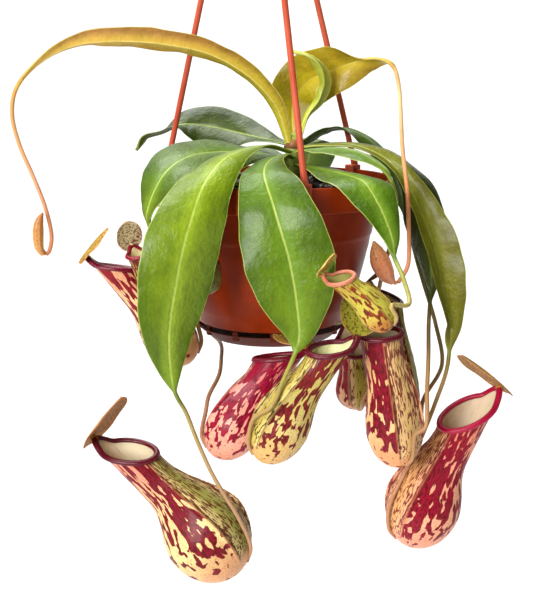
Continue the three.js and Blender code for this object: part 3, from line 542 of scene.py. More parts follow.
points, faces, growth, _ = grown_tube(STEM, 40, 36, ripple=0.03)
stem_skin = living_skin("green stem skin", [(0.0, "#6d6a2e"), (0.6, "#8a9a3a"), (1.0, "#a7b34e")], 0.4,
                        1.5, spots="#5a4a20", spot_share=0.15)
piece("stem", points, faces, [stem_skin], "stem", ["stem"], marks={"growth": growth})
sheath_spine = [curve_point(STEM, 3 + t)[:3] for t in (0.35, 0.45, 0.55, 0.66, 0.78)]
points, faces = tube(sheath_spine, [4.3, 4.7, 4.5, 4.3, 3.6], 28)
dry_sheath = living_skin("dry leaf sheath", [(0.0, "#6b3c20"), (1.0, "#a5673a")], 0.6, 0.9,
                         spot_share=0.3)
growth = [i / 4 for i in range(5) for _ in range(28)] + [0, 1]
piece("crown_sheath", points, faces, [dry_sheath], "stem", marks={"growth": growth})

# ---------------------------------------------------------------- pitchers
# Each pitcher is a hollow leaf tip: a waxy cup with two fringed wings down its front, a hard ribbed
# lip rolled over the mouth, and a speckled lid on a short neck at the back.

# foot and mouth are the ends of the cup's axis, front is the way its wings face (degrees from +X).
# cover is how much of the wall is blotched, from foot to mouth.
PITCHERS = {
    "lower_left": dict(
        foot=(-18, -62, -215), mouth=(-77, -54, -149), front=-20, belly=23.5, waist=0.46, slant=1, lid=57,
        ground=("#dca272", "#e6ce8c", "#e8bc86", "#dc8e76"), grain="#a8642e", blotch="#7e1422",
        cover=(0.0, 0.32, 0.46, 0.6), band=0.3, zone="#98984a", dash="#5a1c18", dashes=(0.52, 0.48),
        lip="#5e0a1c", lid_skin=("#c4843a", "#5e2a12"), inside="#e0d2b0"),
    "lower_right": dict(
        foot=(77.5, -44, -206), mouth=(108, -48, -129), front=200, belly=20.3, waist=0.56, slant=1, lid=42,
        size=1.18,
        ground=("#e0987a", "#eeb08a", "#eca484", "#dc8468"), grain="#c46a44", blotch="#960f28",
        cover=(0.12, 0.56, 0.64, 0.66), band=0.24, zone="#dca46a", dash="#6e1c1a", dashes=(0.54, 0.48),
        lip="#ac0c38", lid_skin=("#c49248", "#7c381c"), inside="#dcc8a8"),
    "front": dict(
        foot=(-6, -94, -138), mouth=(29, -88, -82), front=200, belly=14.4, waist=0.6, slant=0.8, lid=100,
        turn=65, heel=-0.03, lean=12, size=1.15,
        ground=("#d8a868", "#d6be78", "#c8b664", "#bcaa54"), grain="#a08038", blotch="#7e2222", blotch_mm=2.7,
        cover=(0.1, 0.4, 0.42, 0.52), band=0.28, zone="#bca850", dash="#3c2010", dashes=(0.58, 0.54),
        lip="#640e20", lid_skin=("#98902a", "#4a3a12"), inside="#dcdaa4"),
    "red": dict(
        foot=(-31, -64, -146), mouth=(3, -62, -93), front=173, belly=15, waist=0.66, slant=0.8, lid=15,
        ground=("#e09c80", "#e8a890", "#e49484", "#cc6c68"), grain="#c05c4c", blotch="#980e30", blotch_mm=2.8,
        cover=(0.12, 0.54, 0.66, 0.7), band=0.14, zone="#c98a64", dash="#6e1824", dashes=(0.56, 0.46),
        lip="#740c24", lid_skin=("#a88a3c", "#6a2e1c"), inside="#d4be98"),
    "upper": dict(
        foot=(59, -105, -65), mouth=(35, -104, -41), front=-26, belly=8.2, waist=0.7, slant=0.6, lid=57,
        ground=("#bc7c34", "#c2b04c", "#bcb044", "#b0943c"), grain="#8e6c20", blotch="#8a3a1c", blotch_mm=1.8,
        cover=(0.3, 0.36, 0.36, 0.4), band=0.1, zone="#b6b042", dash="#7a4a20", dashes=(0.6, 0.56),
        lip="#cc7a5c", lid_skin=("#dccc66", "#a07830"), inside="#94904a"),
    "centre_right": dict(
        foot=(69, -70, -150), mouth=(58, -66, -79), front=-55, belly=15, waist=0.7, slant=0.15, lid=20,
        ground=("#dc9a68", "#e8ba84", "#e2b27c", "#cf9260"), grain="#b87444", blotch="#841426",
        cover=(0.1, 0.44, 0.56, 0.66), band=0.26, zone="#d8b070", dash="#6c1c20", dashes=(0.56, 0.46),
        lip="#640c1c", lid_skin=("#a9963e", "#6e3f22"), inside="#d4c498"),
    "behind_centre": dict(
        foot=(48, -38, -127), mouth=(45, -41, -91), front=-75, belly=11, waist=0.75, slant=0.5, lid=25,
        ground=("#d09a70", "#deb088", "#cf9c78", "#b98060"), grain="#a86c48", blotch="#8c1e2c",
        cover=(0.16, 0.4, 0.5, 0.6), band=0.3, zone="#a39440", dash="#5e3018", dashes=(0.62, 0.54),
        lip="#6a1024", lid_skin=("#98903a", "#6a5a24"), inside="#c9b890"),
    "behind_right": dict(
        foot=(79, -24, -150), mouth=(66, -21, -68), front=-15, belly=10.5, waist=0.7, slant=0.6, lid=45,
        ground=("#b0844c", "#aa9c4c", "#9c9444", "#8c8438"), grain="#80601c", blotch="#6e2420", blotch_mm=1.8,
        cover=(0.16, 0.34, 0.4, 0.5), band=0.3, zone="#8f8838", dash="#4c2c14", dashes=(0.62, 0.54),
        lip="#5c141c", lid_skin=("#948c3a", "#625622"), inside="#bcae7c"),
    "left": dict(
        foot=(-44, -50, -97), mouth=(-82, -48, -47), front=5, belly=14.5, waist=0.58, slant=1, lid=53,
        ground=("#c89060", "#e4cc8c", "#e4c08c", "#d89c78"), grain="#b07040", blotch="#8c1622",
        cover=(0.0, 0.34, 0.46, 0.54), band=0.2, zone="#9a863c", dash="#4e1c18", dashes=(0.56, 0.5),
        lip="#700e24", lid_skin=("#b8923c", "#66401c"), inside="#d8ba90"),
    "small_left": dict(
        foot=(-61, -65, -60), mouth=(-69, -63, -36), front=-60, belly=7.4, waist=0.8, slant=0.3, lid=72,
        lean=-18, size=1.3,
        ground=("#a07c3c", "#b09644", "#a89040", "#8e6c34"), grain="#74501c", blotch="#6e2420", blotch_mm=1.8,
        cover=(0.3, 0.44, 0.46, 0.5), band=0.2, zone="#9c8a3c", dash="#5a2c18", dashes=(0.6, 0.52),
        lip="#8a1424", lid_skin=("#ecdca8", "#7a3028"), inside="#d0be88"),
    "back": dict(
        foot=(-4, 84, -112), mouth=(8, 88, -62), front=160, belly=13, waist=0.68, slant=0.8, lid=55,
        ground=("#d09660", "#d6b870", "#cab860", "#c0a854"), grain="#a08038", blotch="#86182a",
        cover=(0.1, 0.34, 0.4, 0.5), band=0.34, zone="#b29c4c", dash="#4c2014", dashes=(0.6, 0.54),
        lip="#5e0e1e", lid_skin=("#a8904a", "#62441e"), inside="#d2c592"),
}
WIDE = 12               # a belly over this has a thicker wall and lip, and finer rows
FULL = 0.31             # the belly's place along the axis
NARROW = 0.7            # the waist's place
FLARE = 0.08            # how much the neck widens from waist to mouth
SPUR = 0.5              # how far the mouth's back is drawn up, by the neck's radius
APRON = 0.2             # how far the strip between the wings fills the waist, by the belly
RIDGE = 35              # a wing's place round the cup, in degrees from its front
WING_RISE = 0.13        # its height, by the body's radius
WING_ROOT = 0.04        # the height of its broad root
TROUGH = 0.05           # the hollow between the wings
TOOTH_MM = 2.2          # from one of a wing's teeth to the next
RIB_MM = 0.85           # from one of the lip's ribs to the next
BLOTCH_MM = 3.4         # a blotch's width, where a pitcher gives none of its own
LINING_DEPTH = 1.1      # how far the lining lies inside the round wall
LID_HALF = 0.38         # half of the lid's thickness


def lip_radius(p):
    """The lip's own radius, larger on a big pitcher."""
    return 1.5 if p["belly"] > WIDE else 1.0


def seat_height(p):
    """How far the lip's middle stands over the cup's edge."""
    return (lip_radius(p) + GAP + 0.1) * hypot(1, p["slant"])


def ease(x):
    """A smooth step from 0 to 1."""
    x = min(1.0, max(0.0, x))
    return x * x * (3 - 2 * x)


def body_radius(p, t):
    """The cup's radius at a share of its height: round foot, full belly, waist, slight flare."""
    if t < FULL:
        return p["belly"] * sqrt(max(0.0, 1 - (1 - t / FULL) ** 2))
    slim = 1 - (1 - p["waist"]) * ease((t - FULL) / (NARROW - FULL))
    return p["belly"] * slim * (1 + FLARE * max(0.0, (t - NARROW) / (1 - NARROW)) ** 1.5)


def body_frame(p):
    """The cup's foot, length and directions: up its axis, towards its wings, and across."""
    foot = Vector(p["foot"])
    along = Vector(p["mouth"]) - foot
    up = along.normalized()
    facing = Vector((*polar(1, radians(p["front"])), 0))
    front = (facing - up * facing.dot(up)).normalized()
    return dict(foot=foot, length=along.length, up=up, front=front, facing=facing, side=up.cross(front))


def skin_point(p, f, t, angle, outward, raised):
    """A point of the cup's skin at a share of its height and an angle from its front."""
    ahead, aside = polar(1, radians(angle))
    r = max(0.5, body_radius(p, t) + outward)
    spur = min(1.0, max(0.0, (-ahead - 0.75) / 0.25)) ** 2
    lift = ease((t - 0.6) / 0.4) * r * (-p["slant"] * ahead + SPUR * spur)
    return (f["foot"] + f["up"] * (t * f["length"] + lift + raised) + f["front"] * (r * ahead)
            + f["side"] * (r * aside))


def mouth_point(p, f, angle):
    """A point of the ring over the cup's edge that the lip is rolled round."""
    wall = 1.6 if p["belly"] > WIDE else 1.2
    return skin_point(p, f, 1, angle, -wall / 2 + 0.4, seat_height(p))


def wing_height(p, f, t, angle):
    """How far the two toothed wings and the strip between them stand off the round wall."""
    away = abs(abs(angle) - RIDGE)
    fill = APRON * (1 - ease((abs(angle) - 25) / 45)) * exp(-((t - 0.62) / 0.2) ** 2)
    teeth = 0.93 + 0.07 * sin(2 * pi * t * f["length"] / TOOTH_MM)
    ridge = WING_RISE * exp(-(away / 2.6) ** 2) * teeth + WING_ROOT * exp(-(away / 9) ** 2)
    trough = TROUGH * max(0.0, cos(radians(angle * 90 / RIDGE))) if abs(angle) < RIDGE else 0
    fade = sin(pi * min(1, max(0, (t - 0.05) / 0.9)))
    return body_radius(p, t) * (ridge - trough) * fade + p["belly"] * fill


def blotched_wall(name, p):
    """Waxy pitcher wall: crimson blotches drawn out along the cup, densest beside the wings."""
    material, tree, shader = surface(name, IOR=1.4, Specular_IOR_Level=0.2, Subsurface_Weight=0.06,
                                     Subsurface_Scale=0.0015, Subsurface_Radius=(0.8, 0.3, 0.2),
                                     Coat_Weight=0.08, Coat_Roughness=0.15)
    lie = add(tree, "Attribute", {"attribute_name": "lie"}).outputs["Vector"]
    place = add(tree, "Attribute", {"attribute_name": "place"}).outputs["Vector"]
    turn, height, _ = add(tree, "SeparateXYZ", {0: place}).outputs
    where = add(tree, "TexCoord").outputs["Object"]

    # ground colour from foot to mouth, clouded and sandy
    clouds = add(tree, "TexNoise", {"Scale": 1000 / 7, "Detail": 3, "Vector": where})
    shift = add(tree, "Math MULTIPLY_ADD", {0: clouds, 1: 0.3, 2: -0.15})
    level = add(tree, "Math ADD", {0: height, 1: shift})
    stops = list(zip((0.14, 0.36, 0.64, 0.95), p["ground"]))
    ground = add(tree, "ValToRGB", {"stops": stops, 0: level})
    sand = add(tree, "TexNoise", {"Scale": 1000 / 0.9, "Detail": 3, "Roughness": 0.75, "Vector": where})
    grain = add(tree, "MapRange", {"From": (0.5, 0.66), "To": (0, 0.75), "Value": sand})
    ground = add(tree, "Mix", {0: grain, 6: ground, 7: p["grain"]})

    # blotches a few millimetres wide and twice as long, drawn into streaks at the neck
    broad = add(tree, "TexNoise", {"Scale": 1 / p.get("blotch_mm", BLOTCH_MM), "Detail": 0.9,
                                   "Distortion": 0.2, "Vector": lie})
    fine = add(tree, "TexNoise", {"Scale": 1 / 1.1, "Detail": 1, "Vector": lie})
    total = add(tree, "Math MULTIPLY_ADD", {0: fine, 1: 0.16, 2: broad})
    cover = add(tree, "ValToRGB", {"stops": list(zip((0.06, 0.32, 0.62, 0.97), p["cover"])), 0: height})
    band = add(tree, "MapRange", {"interpolation_type": "SMOOTHSTEP", "From": (50, 105),
                                  "To": (p["band"], 0), "Value": turn})
    foot = add(tree, "MapRange", {"From": (0.08, 0.22), "Value": height})
    cover = add(tree, "Math MULTIPLY_ADD", {0: band, 1: foot, 2: cover})
    limit = add(tree, "Math MULTIPLY_ADD", {0: cover, 1: -0.4, 2: 0.78})
    over = add(tree, "Math SUBTRACT", {0: total, 1: limit})
    blotch = add(tree, "MapRange", {"From": (-0.01, 0.014), "Value": over})
    deep = linear(p["blotch"], 0.42)
    shadowed = add(tree, "MapRange", {"From": (0.4, 0.66), "Value": fine})
    rich = add(tree, "Mix", {0: shadowed, 6: p["blotch"], 7: deep})
    wall = add(tree, "Mix", {0: blotch, 6: ground, 7: rich})

    # the strip between the wings: its own pale ground with short dark dashes, thicker towards the mouth
    drawn = add(tree, "Mapping", {"Scale": (1, 1, 0.5), "Vector": lie})
    dash = add(tree, "TexNoise", {"Scale": 1 / 0.95, "Detail": 1.5, "Distortion": 0.2, "Vector": drawn})
    start = add(tree, "MapRange", {"From": (0.3, 0.95), "To": p["dashes"], "Value": height})
    near = add(tree, "MapRange", {"From": (10, RIDGE - 3), "Value": turn})
    start = add(tree, "Math MULTIPLY_ADD", {0: near, 1: -0.05, 2: start})
    above = add(tree, "Math SUBTRACT", {0: dash, 1: start})
    dark = add(tree, "MapRange", {"From": (0.0, 0.03), "To": (0, 0.9), "Value": above})
    pale = add(tree, "Mix", {0: near, 6: p["zone"], 7: p["ground"][1]})
    strip = add(tree, "Mix", {0: dark, 6: pale, 7: p["dash"]})
    inside_wings = add(tree, "MapRange", {"From": (RIDGE + 1, RIDGE - 2), "Value": turn})
    low = add(tree, "MapRange", {"From": (0.07, 0.13), "Value": height})
    zone = add(tree, "Math MULTIPLY", {0: inside_wings, 1: low})
    wall = add(tree, "Mix", {0: zone, 6: wall, 7: strip})

    # each wing's crest is rubbed pale, and a dark line runs down its inner side
    for turned_to, half, share, tint in ((RIDGE - 4, 2.4, 0.7, p["dash"]), (RIDGE, 1.8, 0.6, p["grain"])):
        away = add(tree, "Math SUBTRACT", {0: turn, 1: turned_to})
        away = add(tree, "Math ABSOLUTE", {0: away})
        line = add(tree, "MapRange", {"From": (half, half / 3), "To": (0, share), "Value": away})
        line = add(tree, "Math MULTIPLY", {0: line, 1: low})
        wall = add(tree, "Mix", {0: line, 6: wall, 7: tint})

    rough = add(tree, "MapRange", {"To": (0.36, 0.54), "Value": clouds})
    pores = add(tree, "Bump", {"Strength": 0.5, "Distance": 0.0001, "Height": sand})
    raised = add(tree, "Bump", {"Strength": 0.5, "Distance": 0.0002, "Height": broad, "Normal": pores})
    feed(tree, shader, {"Base Color": wall, "Roughness": rough, "Normal": raised})
    return material


def glandular_lining(name, pale):
    """The cup's inside: matte, waxy and faintly mottled, darker as it goes down."""
    material, tree, shader = surface(name, IOR=1.4, Roughness=0.55, Subsurface_Weight=0.12,
                                     Subsurface_Scale=0.002)
    place = add(tree, "Attribute", {"attribute_name": "place"}).outputs["Vector"]
    _, height, _ = add(tree, "SeparateXYZ", {0: place}).outputs
    lie = add(tree, "Attribute", {"attribute_name": "lie"}).outputs["Vector"]
    mottle = add(tree, "TexNoise", {"Scale": 1 / 2.2, "Detail": 4, "Vector": lie})
    fade = add(tree, "Math MULTIPLY_ADD", {0: mottle, 1: 0.2, 2: -0.1})
    level = add(tree, "Math ADD", {0: height, 1: fade})
    stops = [(0.35, "#5a4a24"), (0.6, "#a5946a"), (0.8, pale), (1.0, pale)]
    colour = add(tree, "ValToRGB", {"stops": stops, 0: level})
    speck = add(tree, "MapRange", {"From": (0.6, 0.68), "To": (0, 0.35), "Value": mottle})
    tint = add(tree, "Mix", {0: speck, 6: colour, 7: "#a85a50"})
    bump = add(tree, "Bump", {"Strength": 0.4, "Distance": 0.0002, "Height": mottle})
    feed(tree, shader, {"Base Color": tint, "Normal": bump})
    return material


def ribbed_lip(name, tint):
    """The lip's hard ribbed skin: deep colour under a wet gloss, with painted shade darkening the grooves."""
    material, tree, shader = surface(name, IOR=1.4, Specular_IOR_Level=0.3, Coat_Weight=0.3,
                                     Coat_Roughness=0.05)
    groove = add(tree, "Attribute", {"attribute_name": "groove"}).outputs["Fac"]
    where = add(tree, "TexCoord").outputs["Object"]
    clouds = add(tree, "TexNoise", {"Scale": 1000 / 3, "Detail": 3, "Vector": where})
    # painted shade: the colour darkens in the grooves between the ribs, broken up by the clouds
    depth = add(tree, "Math MULTIPLY", {0: groove, 1: clouds})
    dark = linear(tint, 0.45)
    colour = add(tree, "Mix", {0: depth, 6: tint, 7: dark})
    rough = add(tree, "MapRange", {"To": (0.15, 0.35), "Value": clouds})
    bump = add(tree, "Bump", {"Strength": 0.3, "Distance": 0.0001, "Height": clouds})
    feed(tree, shader, {"Base Color": colour, "Roughness": rough, "Normal": bump})
    return material


def speckled_lid(name, base, speck):
    """The lid's thin leathery skin: ochre, finely speckled with glands, with a salmon margin."""
    material, tree, shader = surface(name, IOR=1.4, Roughness=0.62, Specular_IOR_Level=0.12)
    lie = add(tree, "Attribute", {"attribute_name": "lie"}).outputs["Vector"]
    _, _, from_edge = add(tree, "SeparateXYZ", {0: lie}).outputs
    where = add(tree, "TexCoord").outputs["Object"]
    clouds = add(tree, "TexNoise", {"Scale": 1000 / 4, "Detail": 3, "Vector": where})
    deep = linear(base, 0.5)
    ground = add(tree, "Mix", {0: clouds, 6: base, 7: deep})
    specks = add(tree, "TexNoise", {"Scale": 1000 / 1.1, "Detail": 2, "Roughness": 0.6, "Vector": where})
    spot = add(tree, "MapRange", {"From": (0.51, 0.57), "To": (0, 0.9), "Value": specks})
    spotted = add(tree, "Mix", {0: spot, 6: ground, 7: speck})
    rim = add(tree, "MapRange", {"From": (0.8, 0.2), "To": (0, 0.5), "Value": from_edge})
    colour = add(tree, "Mix", {0: rim, 6: spotted, 7: "#d48a5c"})
    bump = add(tree, "Bump", {"Strength": 0.5, "Distance": 0.0002, "Height": specks})
    feed(tree, shader, {"Base Color": colour, "Normal": bump})
    return material


# Angles round the cup from its back, closer together over the wings.
CUP_STEPS = ((-180, -44, 4.5), (-44, -26, 1.5), (-26, 26, 4), (26, 44, 1.5), (44, 180, 4.5))
CUP_ANGLES = [float(a) for low, high, step in CUP_STEPS for a in np.arange(low, high, step)]
LID_ROWS = 31
LID_COLUMNS = 19
LIP_SHAPE = [(1.28, -0.55), (1.4, -0.15), (1.15, 0.5), (0.55, 0.95), (-0.1, 1.0), (-0.7, 0.62), (-1.0, 0.1),
             (-0.85, -0.35), (-0.2, -0.7), (0.6, -0.75)]

for name, p in PITCHERS.items():
    f = body_frame(p)

    # cup, outside and inside
    outer_rows = [0.004, 0.02, 0.045, 0.075] + list(np.linspace(0.11, 1, 64 if p["belly"] > WIDE else 44))
    inner_rows = list(np.linspace(1, 0.3, 24)) + [0.24, 0.21]
    around = len(CUP_ANGLES)
    points, lie, place = [], [], []
    for rows, inside in ((outer_rows, False), (inner_rows, True)):
        for t in rows:
            r = body_radius(p, t)
            wrapped = r if t < FULL else p["belly"]
            for angle in CUP_ANGLES:
                x, y = polar(1, radians(angle))
                if inside:
                    pad = -LINING_DEPTH - r * max(0, 0.3 - t) * 6
                else:
                    uneven = noise.noise(Vector((t * f["length"] / 7, x, y)) * 2)
                    pad = wing_height(p, f, t, angle) + 0.12 * uneven
                points.append(skin_point(p, f, t, angle, pad, seat_height(p) * 0.55 if t >= 1 else 0))
                lie.append((wrapped * x, wrapped * y, (0.48 * t - 0.12 * max(0, t - 0.5)) * f["length"]))
                place.append((abs(angle), t, 0))
    levels = len(outer_rows) + len(inner_rows)
    faces = quads(levels, around)
    skins = [0] * (len(outer_rows) - 1) * around + [1] * len(inner_rows) * around
    for first, inside in ((0, 0), ((levels - 1) * around, 1)):
        points.append(sum(points[first:first + around], Vector()) / around)
        lie.append((0, 0, lie[first][2]))
        place.append((90, place[first][1], 0))
        faces += fan(len(points) - 1, first, around, flip=not inside)
        skins += [inside] * around
    wall = blotched_wall(f"blotched pitcher wall {name}", p)
    lining = glandular_lining(f"pitcher lining {name}", p["inside"])
    piece(f"pitcher_{name}_wall", points, faces, [wall, lining], "pitcher", [f"pitcher_{name}_cup"],
          crease=60, marks={"lie": lie, "place": place}, skin_of=skins)

    # lip: fine ribs, rolled outwards over the cup's edge, each drawn with four steps
    lip_r = lip_radius(p)
    steps = 4 * int(2 * pi * body_radius(p, 1) / RIB_MM)
    centres = [mouth_point(p, f, -180 + 360 * i / steps) for i in range(steps)]
    heart = sum(centres, Vector()) / steps
    points, groove = [], []
    for i, c in enumerate(centres):
        along = (centres[(i + 1) % steps] - centres[i - 1]).normalized()
        out = c - heart
        out = (out - along * out.dot(along)).normalized()
        over = along.cross(out).normalized()
        if over.dot(f["up"]) < 0:
            over.negate()
        rib = cos(pi * i / 2)
        for a, b in LIP_SHAPE:
            points.append(c + out * (a * lip_r * (1 + 0.035 * rib)) + over * (b * lip_r * (1 + 0.05 * rib)))
            # groove is how far a point lies in the hollow between ribs, where the lip's skin paints shade
            groove.append(0.5 - 0.5 * rib)
    lip_skin = ribbed_lip(f"ribbed lip {name}", p["lip"])
    faces = quads(steps, len(LIP_SHAPE), closed=True, flip=True)
    piece(f"pitcher_{name}_peristome", points, faces, [lip_skin], "lip", [f"pitcher_{name}_lip"],
          crease=180, marks={"groove": groove})

    # lid: an oval domed leaf with a keel, on a short neck, with a small spur behind
    facing = Vector((*swung(*f["facing"][:2], radians(p.get("turn", 0))), 0))
    tilt = radians(p["lid"])
    along = facing * cos(tilt) + Vector((0, 0, sin(tilt)))
    side = Vector((0, 0, 1)).cross(facing).normalized()
    out = along.cross(side).normalized()
    if out.dot(facing) > 0:
        out.negate()
    lean = Matrix.Rotation(radians(p.get("lean", 0)), 3, out)
    along, side = lean @ along, lean @ side
    length = (p["belly"] * 1.5 + 3) * p.get("size", 1)
    width = (p["belly"] * 0.62 + 1) * p.get("size", 1)
    heel = p.get("heel", 0.2)
    back = mouth_point(p, f, -180)
    hinge = back + out * (lip_r + GAP + 0.8)
    across = np.linspace(-1, 1, LID_COLUMNS)
    points, lie = [], []
    for face_side in (1, -1):
        for i in range(LID_ROWS):
            s = 0.5 - 0.5 * cos(pi * i / (LID_ROWS - 1))
            oval = 1 - (2 * s - 1) ** 2
            w = max(0.25, width * sqrt(max(0, oval)))
            for u in across:
                keel = 0.5 * exp(-(u * w / 1.2) ** 2) if face_side > 0 else 0
                ruffle = 0.35 * abs(u) ** 3 * sin(11 * s + 2 * u) * w / width
                dome = keel + ruffle - 0.14 * w * u * u - 0.1 * length * (s - heel) ** 2
                thick = LID_HALF * sqrt(max(0.02, 1 - u * u) * max(0.02, oval)) + 0.08
                points.append(hinge + along * ((s - heel) * length) + side * (u * w)
                              + out * (dome + face_side * thick))
                lie.append((u * w, s * length, min((1 - abs(u)) * w, min(s, 1 - s) * length)))
    under = LID_ROWS * LID_COLUMNS
    end = under - LID_COLUMNS
    faces = []
    for left in range(0, end, LID_COLUMNS):
        below, right = left + LID_COLUMNS, left + LID_COLUMNS - 1
        for j in range(LID_COLUMNS - 1):
            a, b = left + j, below + j
            faces += [(a, b, b + 1, a + 1), (under + a, under + a + 1, under + b + 1, under + b)]
        faces += [(left, under + left, under + below, below),
                  (right, right + LID_COLUMNS, under + right + LID_COLUMNS, under + right)]
    for j in range(LID_COLUMNS - 1):
        faces += [(j, j + 1, under + j + 1, under + j),
                  (end + j, under + end + j, under + end + j + 1, end + j + 1)]
    neck = tube([back - out * 0.4, back.lerp(hinge, 0.5) + along * 0.3, hinge + along * 0.6,
                 hinge + along * 2.2], [lip_r * 1.15, lip_r * 0.95, lip_r * 0.8, 0.5], 14, axis=facing)
    spur = tube([back - facing * 0.6 - out * 0.2, back - facing * (1.6 + lip_r) + Vector((0, 0, -0.6)),
                 back - facing * (2 + 1.9 * lip_r) + Vector((0, 0, 0.2))], [0.7, 0.45, 0.12], 10, axis=along)
    points, faces = join((points, faces), neck, spur)
    lie += [(0, 5, 3)] * (len(points) - len(lie))
    lid_skin = speckled_lid(f"speckled lid {name}", *p["lid_skin"])
    piece(f"pitcher_{name}_cover", points, faces, [lid_skin], "lid", [f"pitcher_{name}_lid"], crease=80,
          marks={"lie": lie})

# The smallest pitcher hangs against the pot, still closed: a plain olive bag.
TINY = dict(foot=(-33, -67, -55), mouth=(-28, -65, -38), front=250, belly=4.6, waist=0.8, slant=0)
tiny_low, tiny_high = Vector(TINY["foot"]), Vector(TINY["mouth"])
tiny_line = [(*tiny_low.lerp(tiny_high, t), r)
             for t, r in ((0, 1.4), (0.2, 4.4), (0.45, 4.6), (0.7, 3.5), (1, 1.5))]
points, faces, growth, _ = grown_tube(tiny_line, 22, 24)
olive_bag = living_skin("olive young pitcher skin", [(0, "#5d6120"), (0.5, "#7d7f30"), (1, "#8a5a34")], 0.4,
                        1.2, spots="#6a2a24", spot_share=0.5)
piece("pitcher_tiny_bag", points, faces, [olive_bag], "pitcher", ["pitcher_tiny"], marks={"growth": growth})

# ---------------------------------------------------------------- leaves
# A strap leaf of glossy leathery skin: flat blade, stout midrib sunk on top and keeled below, fine
# parallel veins, and the midrib running on as a round tendril that ends in the foot of its pitcher.
TENDRIL_R = 1.15        # the tendril's radius
PETIOLE = 2.1           # half of the leaf's width at the stem
RIB_HALF = 1.0          # half of the stalk's thickness there
BLADE_HALF = 0.32       # half of the blade's thickness
RIB_SUNK = 0.22         # how deep the midrib lies on top
RIB_KEEL = 0.95         # how far it stands out below
CRINKLE = 0.45          # how far the skin's crinkles rise

